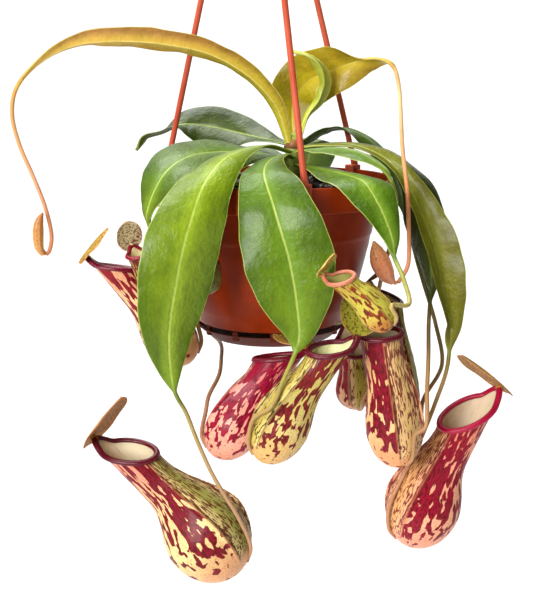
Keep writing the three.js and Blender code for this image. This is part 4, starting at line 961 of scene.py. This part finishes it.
# blade and tail are midrib points (x, y, z, roll in degrees); az is the way that the leaf grows, width
# is half of its widest, peak is where that comes, fold lifts its halves and wave ripples its margins.
LEAVES = {
    "long_left": dict(
        width=8, peak=0.5, az=190, fold=15, wave=0.8,
        blade=[(9, -1, 19.5, 60), (5, -8, 36, 50), (-2, -13, 47, 40), (-15, -18, 59, 35),
               (-34, -22, 69, 35), (-58, -24, 74, 35), (-84, -24, 75.5, 35), (-108, -22, 73, 30),
               (-127, -18, 64, 20), (-140, -15, 51, 10)],
        tail=[(-144, -13, 36), (-141, -12, 19), (-134, -12, 1), (-128, -12, -16), (-125, -12, -31),
              (-126, -12, -40), (-128.2, -13.2, -43)],
        top=("#98a01a", "#b09c26", "#cc9c2a", "#d4a22a"), shade="#7c5a1c",
        other=("#a09c1c", "#b07c3a", "#bc844a", "#c8903a"),
        line="#dccb7a",
        tendril=("#cf9a5a", "#dc9a72", "#c47a4c")),
    "furled": dict(
        width=5, az=20, fold=70, wave=0,
        blade=[(16, 1, 22.5, 0), (21, 1, 34, 0), (29, 1, 42, 0), (33, 0, 52, 0), (30, -3, 61, 0),
               (22, -7, 67, 0), (11, -11, 70, 0)],
        tail=[],
        top=("#8a8f1a", "#9aa02e", "#c2c050", "#dcd878"), shade="#6f7a18",
        line="#e2e28a",
        tendril=("#e8e68a", "#e8e68a", "#e8e68a")),
    "upright": dict(
        width=15, peak=0.4, az=90, fold=20, wave=1,
        blade=[(13, 4, 23, 0), (12, 12, 32, 0), (13, 19, 42, 0), (21, 18, 53, -35), (36, 10, 60, -55),
               (51, 0, 65.5, -25), (63, -9, 65, -25), (68, -15, 60, -40)],
        tail=[(70, -21, 49), (70.5, -27, 35), (71, -34, 18), (73, -42, -3), (74, -46, -24),
              (74, -48, -42), (70, -50, -50), (67.3, -50.8, -52.6)],
        top=("#8c8c10", "#ac9a18", "#bc9c32", "#c89058"), shade="#7c660a",
        line="#cdbb58",
        tendril=("#e6bf8c", "#cf8252", "#dd9468")),
    "back_left": dict(
        width=12.5, az=145, fold=5, wave=1,
        blade=[(8, 6, 18, 0), (-5, 21, 20, -20), (-21, 35, 23, -50), (-37, 43, 26, -55),
               (-53, 45, 27, -40), (-66, 43, 22, -10), (-76, 39, 19, 0), (-81, 36, 12, 0)],
        tail=[],
        top=("#2e4004", "#344406", "#2e3c05", "#3e460c"), shade="#1e2a03",
        line="#8ea246",
        tendril=("#6a7414", "#6a7414", "#6a7414")),
    "left": dict(
        width=22, az=215, fold=-3, wave=0.8, feeds="left",
        blade=[(8, -4, 10, 0), (-8, -12, 14, -12), (-27, -22, 15.5, -20), (-44, -33, 14, -14),
               (-56, -44, 6.5, -8), (-64, -51, -8, -3), (-65, -54, -20, 0)],
        tail=[(-58, -55, -34), (-50, -55, -50), (-44, -54, -66)],
        top=("#445c07", "#54700a", "#4c680a", "#647214"), shade="#304606",
        tendril=("#a09a44", "#b08a50", "#b0805a")),
    "front_left": dict(
        width=18.5, peak=0.66, az=262, fold=-12, wave=2, feeds="lower_left",
        blade=[(9, -6, 14, 0), (-1, -20, 18.5, 5), (-12, -38, 18.5, 8), (-24, -57, 15, 3),
               (-34, -74, 4, -7), (-40, -84, -12, -18), (-45, -89, -30, -25), (-49, -90, -50, -28),
               (-52, -89, -68, -28), (-52.5, -86, -86, -22), (-50.5, -82, -104, -10)],
        tail=[(-45, -76, -118), (-39, -73, -136), (-31, -70, -156)],
        top=("#5e760a", "#768c12", "#6c8210", "#587010"), shade="#3e5806",
        tendril=("#a09050", "#b8926a", "#ba8a68")),
    "front": dict(
        width=21.5, peak=0.7, az=266, fold=2, wave=1.5, feeds="front",
        blade=[(12, -7, 11, 0), (7, -28, 14, 10), (-0.8, -50, 13, 14), (-3.8, -70, 8, 12),
               (0, -82, -4, 9), (4, -87, -17, 5), (8, -89, -30, 0), (11, -90, -44, 0),
               (13, -90, -58, 0), (14, -90, -71, 0), (12, -91, -81, 0)],
        tail=[(6, -96, -94), (0, -102, -106)],
        top=("#3e5c05", "#4e6c0a", "#5e7a0c", "#728a1c"), shade="#2a4204",
        tendril=("#9a9440", "#a88a50", "#b0865a")),
    "right_front": dict(
        width=13.5, az=-68, fold=-5, wave=1, feeds="upper",
        blade=[(16, -7, 7, 0), (26, -25, 7, 0), (38, -45, 5.5, 0), (48, -60, 2.5, 0),
               (54.5, -68.5, -7, 0), (59, -74, -17, 0), (61.5, -77, -25, 0), (62.5, -80, -33, 0)],
        tail=[(66, -91, -42), (68, -102, -53)],
        top=("#5c7a0e", "#668418", "#4c6c0c", "#3c5a08"), shade="#2e4805",
        tendril=("#8a9440", "#a89a54", "#b89a60")),
    "long_right": dict(
        width=13, peak=0.7, az=-20, fold=44, wave=1.2, feeds="lower_right",
        blade=[(18, -1, 16.5, 0), (31, -3, 18, 10), (47, -6, 17.5, 20), (62, -11, 12, 35),
               (72, -17, 3, 45), (80, -22, -11, 45), (86, -26, -25, 45), (91, -30, -41, 45),
               (95, -34, -60, 45), (99, -37, -78, 45), (99, -40, -93, 45)],
        tail=[(97, -43, -105), (92, -46, -119), (86, -48, -135), (79, -48, -153)],
        top=("#606a0c", "#6e7010", "#7a7614", "#7e7a20"), shade="#504e08",
        tendril=("#a8884a", "#b5825a", "#b97f5c")),
    "small_right": dict(
        width=9, az=-36, fold=-15, wave=0.5, feeds="behind_centre",
        blade=[(17, -4, 14, 0), (26, -15, 17, 0), (37, -25, 18, 0), (48, -34, 16, 0), (58, -41, 10, 0),
               (63, -44, 4, 0)],
        tail=[(67, -44, -8), (66, -41, -28), (61, -38, -50), (58, -37, -72), (60, -38, -92),
              (57, -50, -106)],
        top=("#5a7a16", "#62841a", "#567414", "#667420"), shade="#3e560c",
        tendril=("#a08a4c", "#a8805a", "#a8805a")),
    "dark_right": dict(
        width=12, az=-34, fold=-5, wave=0.8, feeds="centre_right",
        blade=[(19, 3, 14, 0), (36, 9, 18, 0), (54, 9, 17, 0), (70, 5, 11, 0), (84, -3, -4, 10),
               (88, -9, -24, 45), (90, -14, -42, 60), (91, -19, -58, 60), (90, -23, -68, 60)],
        tail=[(88, -34, -80), (85, -57, -92), (82, -76, -106), (81, -84, -122)],
        top=("#404a08", "#384206", "#2e3604", "#3a400a"), shade="#1e2402",
        line="#6a7c34",
        tendril=("#8a7038", "#a07848", "#b08058")),
    "right_back": dict(
        width=10, az=-30, fold=-10, wave=1, feeds="behind_right",
        blade=[(18, 6, 17, 0), (31, 20, 24, 0), (45, 30, 25, 0), (60, 34, 18, 0), (72, 33, 5, 0),
               (79, 27, -14, 0), (83, 18, -31, 0), (85, 9, -46, 0)],
        tail=[(89, -2, -62), (95, -14, -84), (98, -22, -106)],
        top=("#46600f", "#455c0e", "#3c500c", "#4a560f"), shade="#2a3a08",
        line="#7c8c40",
        tendril=("#7a6a34", "#8f7444", "#9a7a50")),
    "back": dict(
        width=15, az=78, fold=-8, wave=1.5, feeds="back",
        blade=[(15, 8, 14, 0), (19, 28, 18, 0), (23, 48, 18, 0), (25, 66, 13, 0), (24, 80, 2, 0),
               (20, 90, -13, 0), (14, 95, -28, 0)],
        tail=[(5, 99, -44), (-8, 100, -60), (-15, 98, -76)],
        top=("#587c16", "#64881c", "#587c18", "#64781c"), shade="#3c580d",
        tendril=("#938a44", "#a48650", "#ac8458")),
    "under_left": dict(
        width=4, az=222, fold=-8, wave=0.3, feeds="small_left",
        blade=[(9, -4, 6, 0), (-5, -17, 5, 0), (-22, -34, 3.4, 0), (-36, -50, 2.2, 0),
               (-45, -64, 0.6, 0), (-53, -70, -8, 0), (-56, -72.5, -21, 0)],
        tail=[(-55, -73, -34), (-55, -73, -46)],
        top=("#587416", "#60801a", "#667a20", "#7a7a30"), shade="#3c540c",
        tendril=("#a08a4c", "#a8885a", "#b08a60")),
    "back_under": dict(
        width=14, az=128, fold=-8, wave=1.5, feeds="red",
        blade=[(9, 8, 9, 0), (-6, 28, 13, 0), (-24, 48, 13, 0), (-41, 61, 7, 0), (-53, 67, -5, 0),
               (-60, 66, -21, 0), (-61, 60, -38, 0)],
        tail=[(-57, 53, -57), (-48, 44, -80), (-38, 28, -97), (-30, 5, -100), (-28.5, -22, -102),
              (-29, -44, -106), (-34, -56, -114)],
        top=("#507016", "#5a7a1a", "#546c14", "#5e6818"), shade="#384e0c",
        tendril=("#938044", "#a47c50", "#b07c5c")),
    "under_front": dict(
        width=3.5, az=246, fold=-5, wave=0.3, feeds="tiny",
        blade=[(11, -7, 3, 0), (3, -24, 3, 0), (-6, -42, 3.2, 0), (-19, -59, 2.6, 0),
               (-28, -70, 0.2, 0), (-31, -73, -11, 0)],
        tail=[(-33, -74, -26), (-36, -73, -40)],
        top=("#507016", "#5a7a1a", "#606e20", "#706c28"), shade="#384e0c",
        tendril=("#8a8038", "#94803e", "#8a7a36")),
}
ENDS_IN = {"long_left": (-131.5, -16, -38), "upright": (62.5, -51.9, -48.5)}
BLADE_ROWS = 110
HALF = (0, 0.04, 0.1, 0.2, 0.34, 0.5, 0.66, 0.8, 0.91, 0.975, 1)
ACROSS = [-u for u in reversed(HALF[1:])] + list(HALF)


def leaf_axes(spec, path, t):
    """The leaf's own directions at a place on its midrib: across to its right edge, and up."""
    roll = radians(curve_point(path, t)[3])
    az = radians(spec["az"])
    across = Vector((-sin(az), cos(az), 0))
    along = direction(path, t)
    flat = (across - along * across.dot(along)).normalized()
    side = flat * cos(roll) + along.cross(flat) * sin(roll)
    return side, along.cross(side)


def rooted(spec):
    """The midrib's first point, set against the stem at its height."""
    x1, y1 = spec["blade"][1][:2]
    height = min(spec["blade"][0][2], STEM_TOP)
    i = next(i for i, p in enumerate(STEM) if p[2] >= height)
    u = (height - STEM[i - 1][2]) / (STEM[i][2] - STEM[i - 1][2])
    x, y, _, radius = (a * (1 - u) + b * u for a, b in zip(STEM[i - 1], STEM[i]))
    out = Vector((x1 - x, y1 - y, 0)).normalized()
    side, up = leaf_axes(spec, spec["blade"], 0)
    reach = radius + GAP + PETIOLE * abs(side.dot(out)) + RIB_HALF * abs(up.dot(out)) - 1.2
    return (x + out.x * reach, y + out.y * reach, *spec["blade"][0][2:])


def leaf_path(name, spec):
    """All of the midrib's points, on through the tendril into the pitcher's foot."""
    path = [rooted(spec)] + spec["blade"][1:] + [(*p, 0) for p in spec["tail"]]
    if "feeds" in spec:
        p = PITCHERS.get(spec["feeds"], TINY)
        f = body_frame(p)
        close = TENDRIL_R + GAP + 0.3
        for t, clear in ((0.28, close + 0.7), (0.1, close - 0.3), (0.03, -0.4)):
            stand = wing_height(p, f, t, 0) if p is not TINY else 0
            path.append((*skin_point(p, f, t, 0, stand + clear, 0), 0))
    if name in ENDS_IN:
        path.append((*ENDS_IN[name], 0))
    return path


def leathery_skin(name, spec, under):
    """Leaf skin: clouded green with painted shade towards the margins and painted light beside the midrib, a
    pale line along the midrib and the margin, a waxy gloss with crinkles.
    """
    material, tree, shader = surface(name, IOR=1.4, Coat_Weight=0.04 if under else 0.18,
                                     Coat_Roughness=0.2, Specular_IOR_Level=0.22)
    place = add(tree, "Attribute", {"attribute_name": "place"}).outputs["Vector"]
    u, growth, _ = add(tree, "SeparateXYZ", {0: place}).outputs
    lie = add(tree, "Attribute", {"attribute_name": "lie"}).outputs["Vector"]
    off_midrib, _, from_edge = add(tree, "SeparateXYZ", {0: lie}).outputs
    where = add(tree, "TexCoord").outputs["Object"]

    patches = add(tree, "TexNoise", {"Scale": 1000 / 14, "Detail": 4, "Roughness": 0.6, "Vector": where})
    jitter = add(tree, "Math MULTIPLY_ADD", {0: patches, 1: 0.12, 2: -0.06})
    half_growth = add(tree, "Math MULTIPLY_ADD", {0: growth, 1: 0.5, 2: jitter})
    tendril_stops = list(zip((0.56, 0.78, 1.0), spec["tendril"]))
    stops = list(zip((0.0, 0.2, 0.38, 0.5), spec["top"])) + tendril_stops
    colour = add(tree, "ValToRGB", {"stops": stops, 0: half_growth})
    if "other" in spec:
        stops = list(zip((0.0, 0.2, 0.38, 0.5), spec["other"])) + tendril_stops
        second = add(tree, "ValToRGB", {"stops": stops, 0: half_growth})
        half = add(tree, "MapRange", {"From": (-0.08, 0.1), "Value": u})
        colour = add(tree, "Mix", {0: half, 6: colour, 7: second})
    on_blade = add(tree, "MapRange", {"From": (0.52, 0.46), "Value": half_growth})
    cloud = add(tree, "MapRange", {"From": (0.42, 0.7), "To": (0, 0.6), "Value": patches})
    cloud = add(tree, "Math MULTIPLY", {0: cloud, 1: on_blade})
    colour = add(tree, "Mix", {0: cloud, 6: colour, 7: spec["shade"]})
    grain = add(tree, "TexNoise", {"Scale": 1000 / 1.1, "Detail": 3, "Roughness": 0.65, "Vector": where})
    freckle = add(tree, "MapRange", {"From": (0.56, 0.74), "To": (0, 0.3), "Value": grain})
    colour = add(tree, "Mix", {0: freckle, 6: colour, 7: spec["shade"]})

    # painted shade: the blade darkens towards its margins
    across = add(tree, "Math ABSOLUTE", {0: u})
    painted_margin_shade = add(tree, "MapRange", {"From": (0.35, 1.0), "To": (0, 0.55), "Value": across})
    painted_margin_shade = add(tree, "Math MULTIPLY", {0: painted_margin_shade, 1: on_blade})
    colour = add(tree, "Mix", {0: painted_margin_shade, 6: colour, 7: spec["shade"]})

    # painted light: the flesh is painted paler beside the midrib, which is itself a thin pale line, as the
    # margin is
    off_rib = add(tree, "Math ABSOLUTE", {0: off_midrib})
    painted_midrib_light = add(tree, "MapRange", {"interpolation_type": "SMOOTHSTEP", "From": (7.0, 0.3), "To": (0, 0.4),
                                  "Value": off_rib})
    painted_midrib_light = add(tree, "Math MULTIPLY", {0: painted_midrib_light, 1: on_blade})
    bright = tuple(min(1, 1.7 * c + 0.02) for c in linear(spec["top"][1])[:3]) + (1,)
    colour = add(tree, "Mix", {0: painted_midrib_light, 6: colour, 7: bright})
    rib = add(tree, "MapRange", {"From": (0.75, 0.3), "To": (0, 0.55), "Value": off_rib})
    margin = add(tree, "MapRange", {"From": (0.5, 0.2), "To": (0, 0.6), "Value": from_edge})
    light = add(tree, "Math MAXIMUM", {0: rib, 1: margin})
    light = add(tree, "Math MULTIPLY", {0: light, 1: on_blade})
    colour = add(tree, "Mix", {0: light, 6: colour, 7: spec.get("line", "#b9c462")})

    gloss = 0.5 if under else 0.35
    rough = add(tree, "MapRange", {"To": (gloss - 0.07, gloss + 0.1), "Value": patches})
    crinkles = add(tree, "TexNoise", {"Scale": 1000 / 3.6, "Detail": 3, "Roughness": 0.6, "Vector": where})
    bump = add(tree, "Bump", {"Strength": 0.9, "Distance": 0.0011, "Height": crinkles})
    swing = add(tree, "Math MULTIPLY", {0: u, 1: 46.0})
    veins = add(tree, "Math SINE", {0: swing})
    veined = add(tree, "Bump", {"Strength": 0.2, "Distance": 0.00006, "Height": veins, "Normal": bump})
    cells = add(tree, "Bump", {"Strength": 0.5, "Distance": 0.00012, "Height": grain, "Normal": veined})
    feed(tree, shader, {"Base Color": colour, "Roughness": rough, "Normal": cells})
    return material


for name, spec in LEAVES.items():
    path = leaf_path(name, spec)
    split, tip = len(spec["blade"]) - 1, len(path) - 1
    places = stations(path, 0, split, BLADE_ROWS)
    if tip > split:
        places += stations(path, split, tip, max(20, (tip - split) * 9))[1:]
    last_row = len(places) - 1
    end = TENDRIL_R if last_row > BLADE_ROWS else 0.4
    peak = log(0.5) / log(spec.get("peak", 0.55))
    spots = [Vector(curve_point(path, t)[:3]) for t in places]
    run = 0.0
    points, lie, place = [], [], []
    for i, t in enumerate(places):
        if i:
            run += (spots[i] - spots[i - 1]).length
        side, up = leaf_axes(spec, path, t)
        s = min(1, i / BLADE_ROWS)
        growth = s if i <= BLADE_ROWS else 1 + (i - BLADE_ROWS) / (last_row - BLADE_ROWS)
        swell = sin(pi * s ** peak) ** 1.05 if s < 1 else 0
        w = max(PETIOLE * (1 - s) + end * s + spec["width"] * swell, end)
        w *= 1 + 0.012 * sin(run / 3.1) * swell
        spread = min(1, max(0, (w - 2.4) / 5))
        fold = radians(spec["fold"]) * spread
        round_rib = RIB_HALF * (1 + 0.15 * s) if i <= BLADE_ROWS else TENDRIL_R
        for top in (True, False):
            for u in (ACROSS if top else ACROSS[-2:0:-1]):
                edge = abs(u)
                wave = spec["wave"] * spread * u * u * sin(9 * s + (1.3 if u > 0 else 0))
                wave += 0.35 * spread * edge ** 3 * sin(run / 4.3 + (2 if u > 0 else 0))
                hump = 0.05 * w * spread * sin(pi * edge ** 0.8)
                crease = noise.noise(Vector((u * w / 7, run / 8, spec["az"])))
                crinkle = CRINKLE * spread * min(1, edge * 3) * crease
                rise = edge * w * sin(fold) + wave + hump + crinkle
                rib = exp(-(u * w / 1.3) ** 2) * (1 - 0.5 * s)
                flat_half = BLADE_HALF * sqrt(max(0, 1 - edge ** 8))
                flat_half += (-RIB_SUNK if top else RIB_KEEL) * rib
                half = round_rib * sqrt(max(0, 1 - u * u)) * (1 - spread) + flat_half * spread
                points.append(spots[i] + side * (u * w * cos(fold))
                              + up * (rise + (half if top else -half)))
                lie.append((u * w, run, (1 - edge) * w))
                place.append((u, growth, 0))
    sides = 2 * len(ACROSS) - 2
    faces = quads(len(places), sides, flip=True)
    skins = []
    for i in range(last_row):
        skins += [0 if j < len(ACROSS) - 1 or i >= BLADE_ROWS else 1 for j in range(sides)]
    for first in (0, last_row * sides):
        points.append(sum(points[first:first + sides], Vector()) / sides)
        lie.append((0, lie[first][1], 1))
        place.append((0, place[first][1], 0))
        faces += fan(len(points) - 1, first, sides, flip=first > 0)
        skins += [0] * sides
    over = leathery_skin(f"leaf skin {name}", spec, False)
    below = leathery_skin(f"leaf underside {name}", spec, True)
    piece(f"leaf_{name}_blade", points, faces, [over, below],
          "young_leaf" if name in ("long_left", "upright") else "leaf", [f"leaf_{name}"],
          crease=70, marks={"lie": lie, "place": place}, skin_of=skins)

# ---------------------------------------------------------------- buds
# Two unopened pitchers at the tips of the youngest tendrils: swollen, veined, with the folded lid
# drawn to a point above.
BUDS = {
    "bud_left": dict(
        line=[(-129.8, -14.6, -43.2, 1.3), (-131.5, -16, -38, 2.6), (-131.5, -16.5, -29, 3),
              (-130.4, -16.5, -23, 2.1), (-128.5, -16.5, -19, 0.5)],
        skin=[(0, "#c9924e"), (0.5, "#c18748"), (1, "#a86a34")]),
    "bud_right": dict(
        line=[(65.6, -51.2, -52.4, 1.4), (62, -52, -48, 4.2), (58.5, -52, -41, 5.1), (56.5, -52, -35, 3.7),
              (54.6, -52, -29.5, 0.5)],
        skin=[(0, "#e59a6c"), (0.45, "#d9875a"), (1, "#c98a50")]),
}
BUD_RINGS = 40
BUD_SIDES = 48
for name, bud in BUDS.items():
    points, faces, growth, spine = grown_tube(bud["line"], BUD_RINGS, BUD_SIDES)
    for n in range((BUD_RINGS + 1) * BUD_SIDES):
        a = 2 * pi * (n % BUD_SIDES) / BUD_SIDES
        centre = Vector(spine[n // BUD_SIDES][:3])
        swell = 1 + 0.035 * cos(8 * a) * sin(pi * growth[n])
        swell += 0.07 * max(0, cos(2 * a)) ** 8
        seam = 1 - 0.07 * exp(-((growth[n] - 0.7 - 0.06 * cos(a)) / 0.025) ** 2)
        points[n] = centre + (points[n] - centre) * swell * seam
    bud_skin = living_skin(f"young pitcher skin {name}", bud["skin"], 0.42, 1.0, spots="#8a3f28",
                           spot_share=0.35, bump_mm=0.25)
    piece(f"{name}_bag", points, faces, [bud_skin], "bud", [name], marks={"growth": growth})

# ---------------------------------------------------------------- studio
# A sweep of white paper curves up from a floor far below into a wall, with a wash light of its own.
# The plant has a big soft box overhead to the left, a smaller one at the camera's left, a weak fill
# and a faint surround.
FLOOR_Z = -1.1
SWEEP_HALF = 7
SWEEP_BEND = 1.3
sweep_line = [(-5, FLOOR_Z)] + [
    (1.4 + SWEEP_BEND * sin(radians(a)), FLOOR_Z + SWEEP_BEND * (1 - cos(radians(a))))
    for a in range(0, 91, 5)] + [(1.4 + SWEEP_BEND, 4)]
sweep_mesh = bpy.data.meshes.new("studio_floor")
sweep_mesh.from_pydata([(x, y, z) for y, z in sweep_line for x in (-SWEEP_HALF, SWEEP_HALF)], [],
                       [(2 * i, 2 * i + 1, 2 * i + 3, 2 * i + 2) for i in range(len(sweep_line) - 1)])
sweep_mesh.shade_smooth()
paper, tree, shader = surface("matt white studio paper", Roughness=0.95, Specular_IOR_Level=0.1)
where = add(tree, "TexCoord").outputs["Object"]
fibre = add(tree, "TexNoise", {"Scale": 3.0, "Detail": 3, "Vector": where})
tone = add(tree, "Mix", {0: fibre, 6: "#f2f2f1", 7: "#f7f7f6"})
feed(tree, shader, {"Base Color": tone})
sweep_mesh.materials.append(paper)
sweep = bpy.data.objects.new("studio_floor", sweep_mesh)
bpy.context.scene.collection.objects.link(sweep)

world = bpy.data.worlds.new("faint surround")
world.use_nodes = True
world.node_tree.nodes["Background"].inputs[0].default_value = (0.93, 0.95, 0.97, 1)
world.node_tree.nodes["Background"].inputs[1].default_value = 0.14
bpy.context.scene.world = world
bpy.context.scene.view_settings.view_transform = "Standard"

PLANT_MIDDLE = RIM_CENTRE + Vector((0, 0, -50)) * MM
BACKDROP = Vector((0, 2.4, -0.4))
for name, place, target, size, power in (
        ("overhead soft box", Vector((-0.4, 0.25, 1.2)), PLANT_MIDDLE, 1.2, 38),
        ("front soft box", Vector((-0.9, -1.4, 0.5)), PLANT_MIDDLE, 0.8, 40),
        ("fill light", Vector((1.2, -1.2, -0.1)), PLANT_MIDDLE, 1.2, 4),
        ("backdrop wash", Vector((0, 0.8, 1.0)), BACKDROP, 2.0, 34)):
    lamp = bpy.data.lights.new(name, "AREA")
    lamp.size = size
    lamp.energy = power
    light = bpy.data.objects.new(name, lamp)
    light.location = PLANT_MIDDLE + place
    light.rotation_euler = (target - light.location).to_track_quat("-Z", "Y").to_euler()
    bpy.context.scene.collection.objects.link(light)

# ---------------------------------------------------------------- update
bpy.context.view_layer.update()
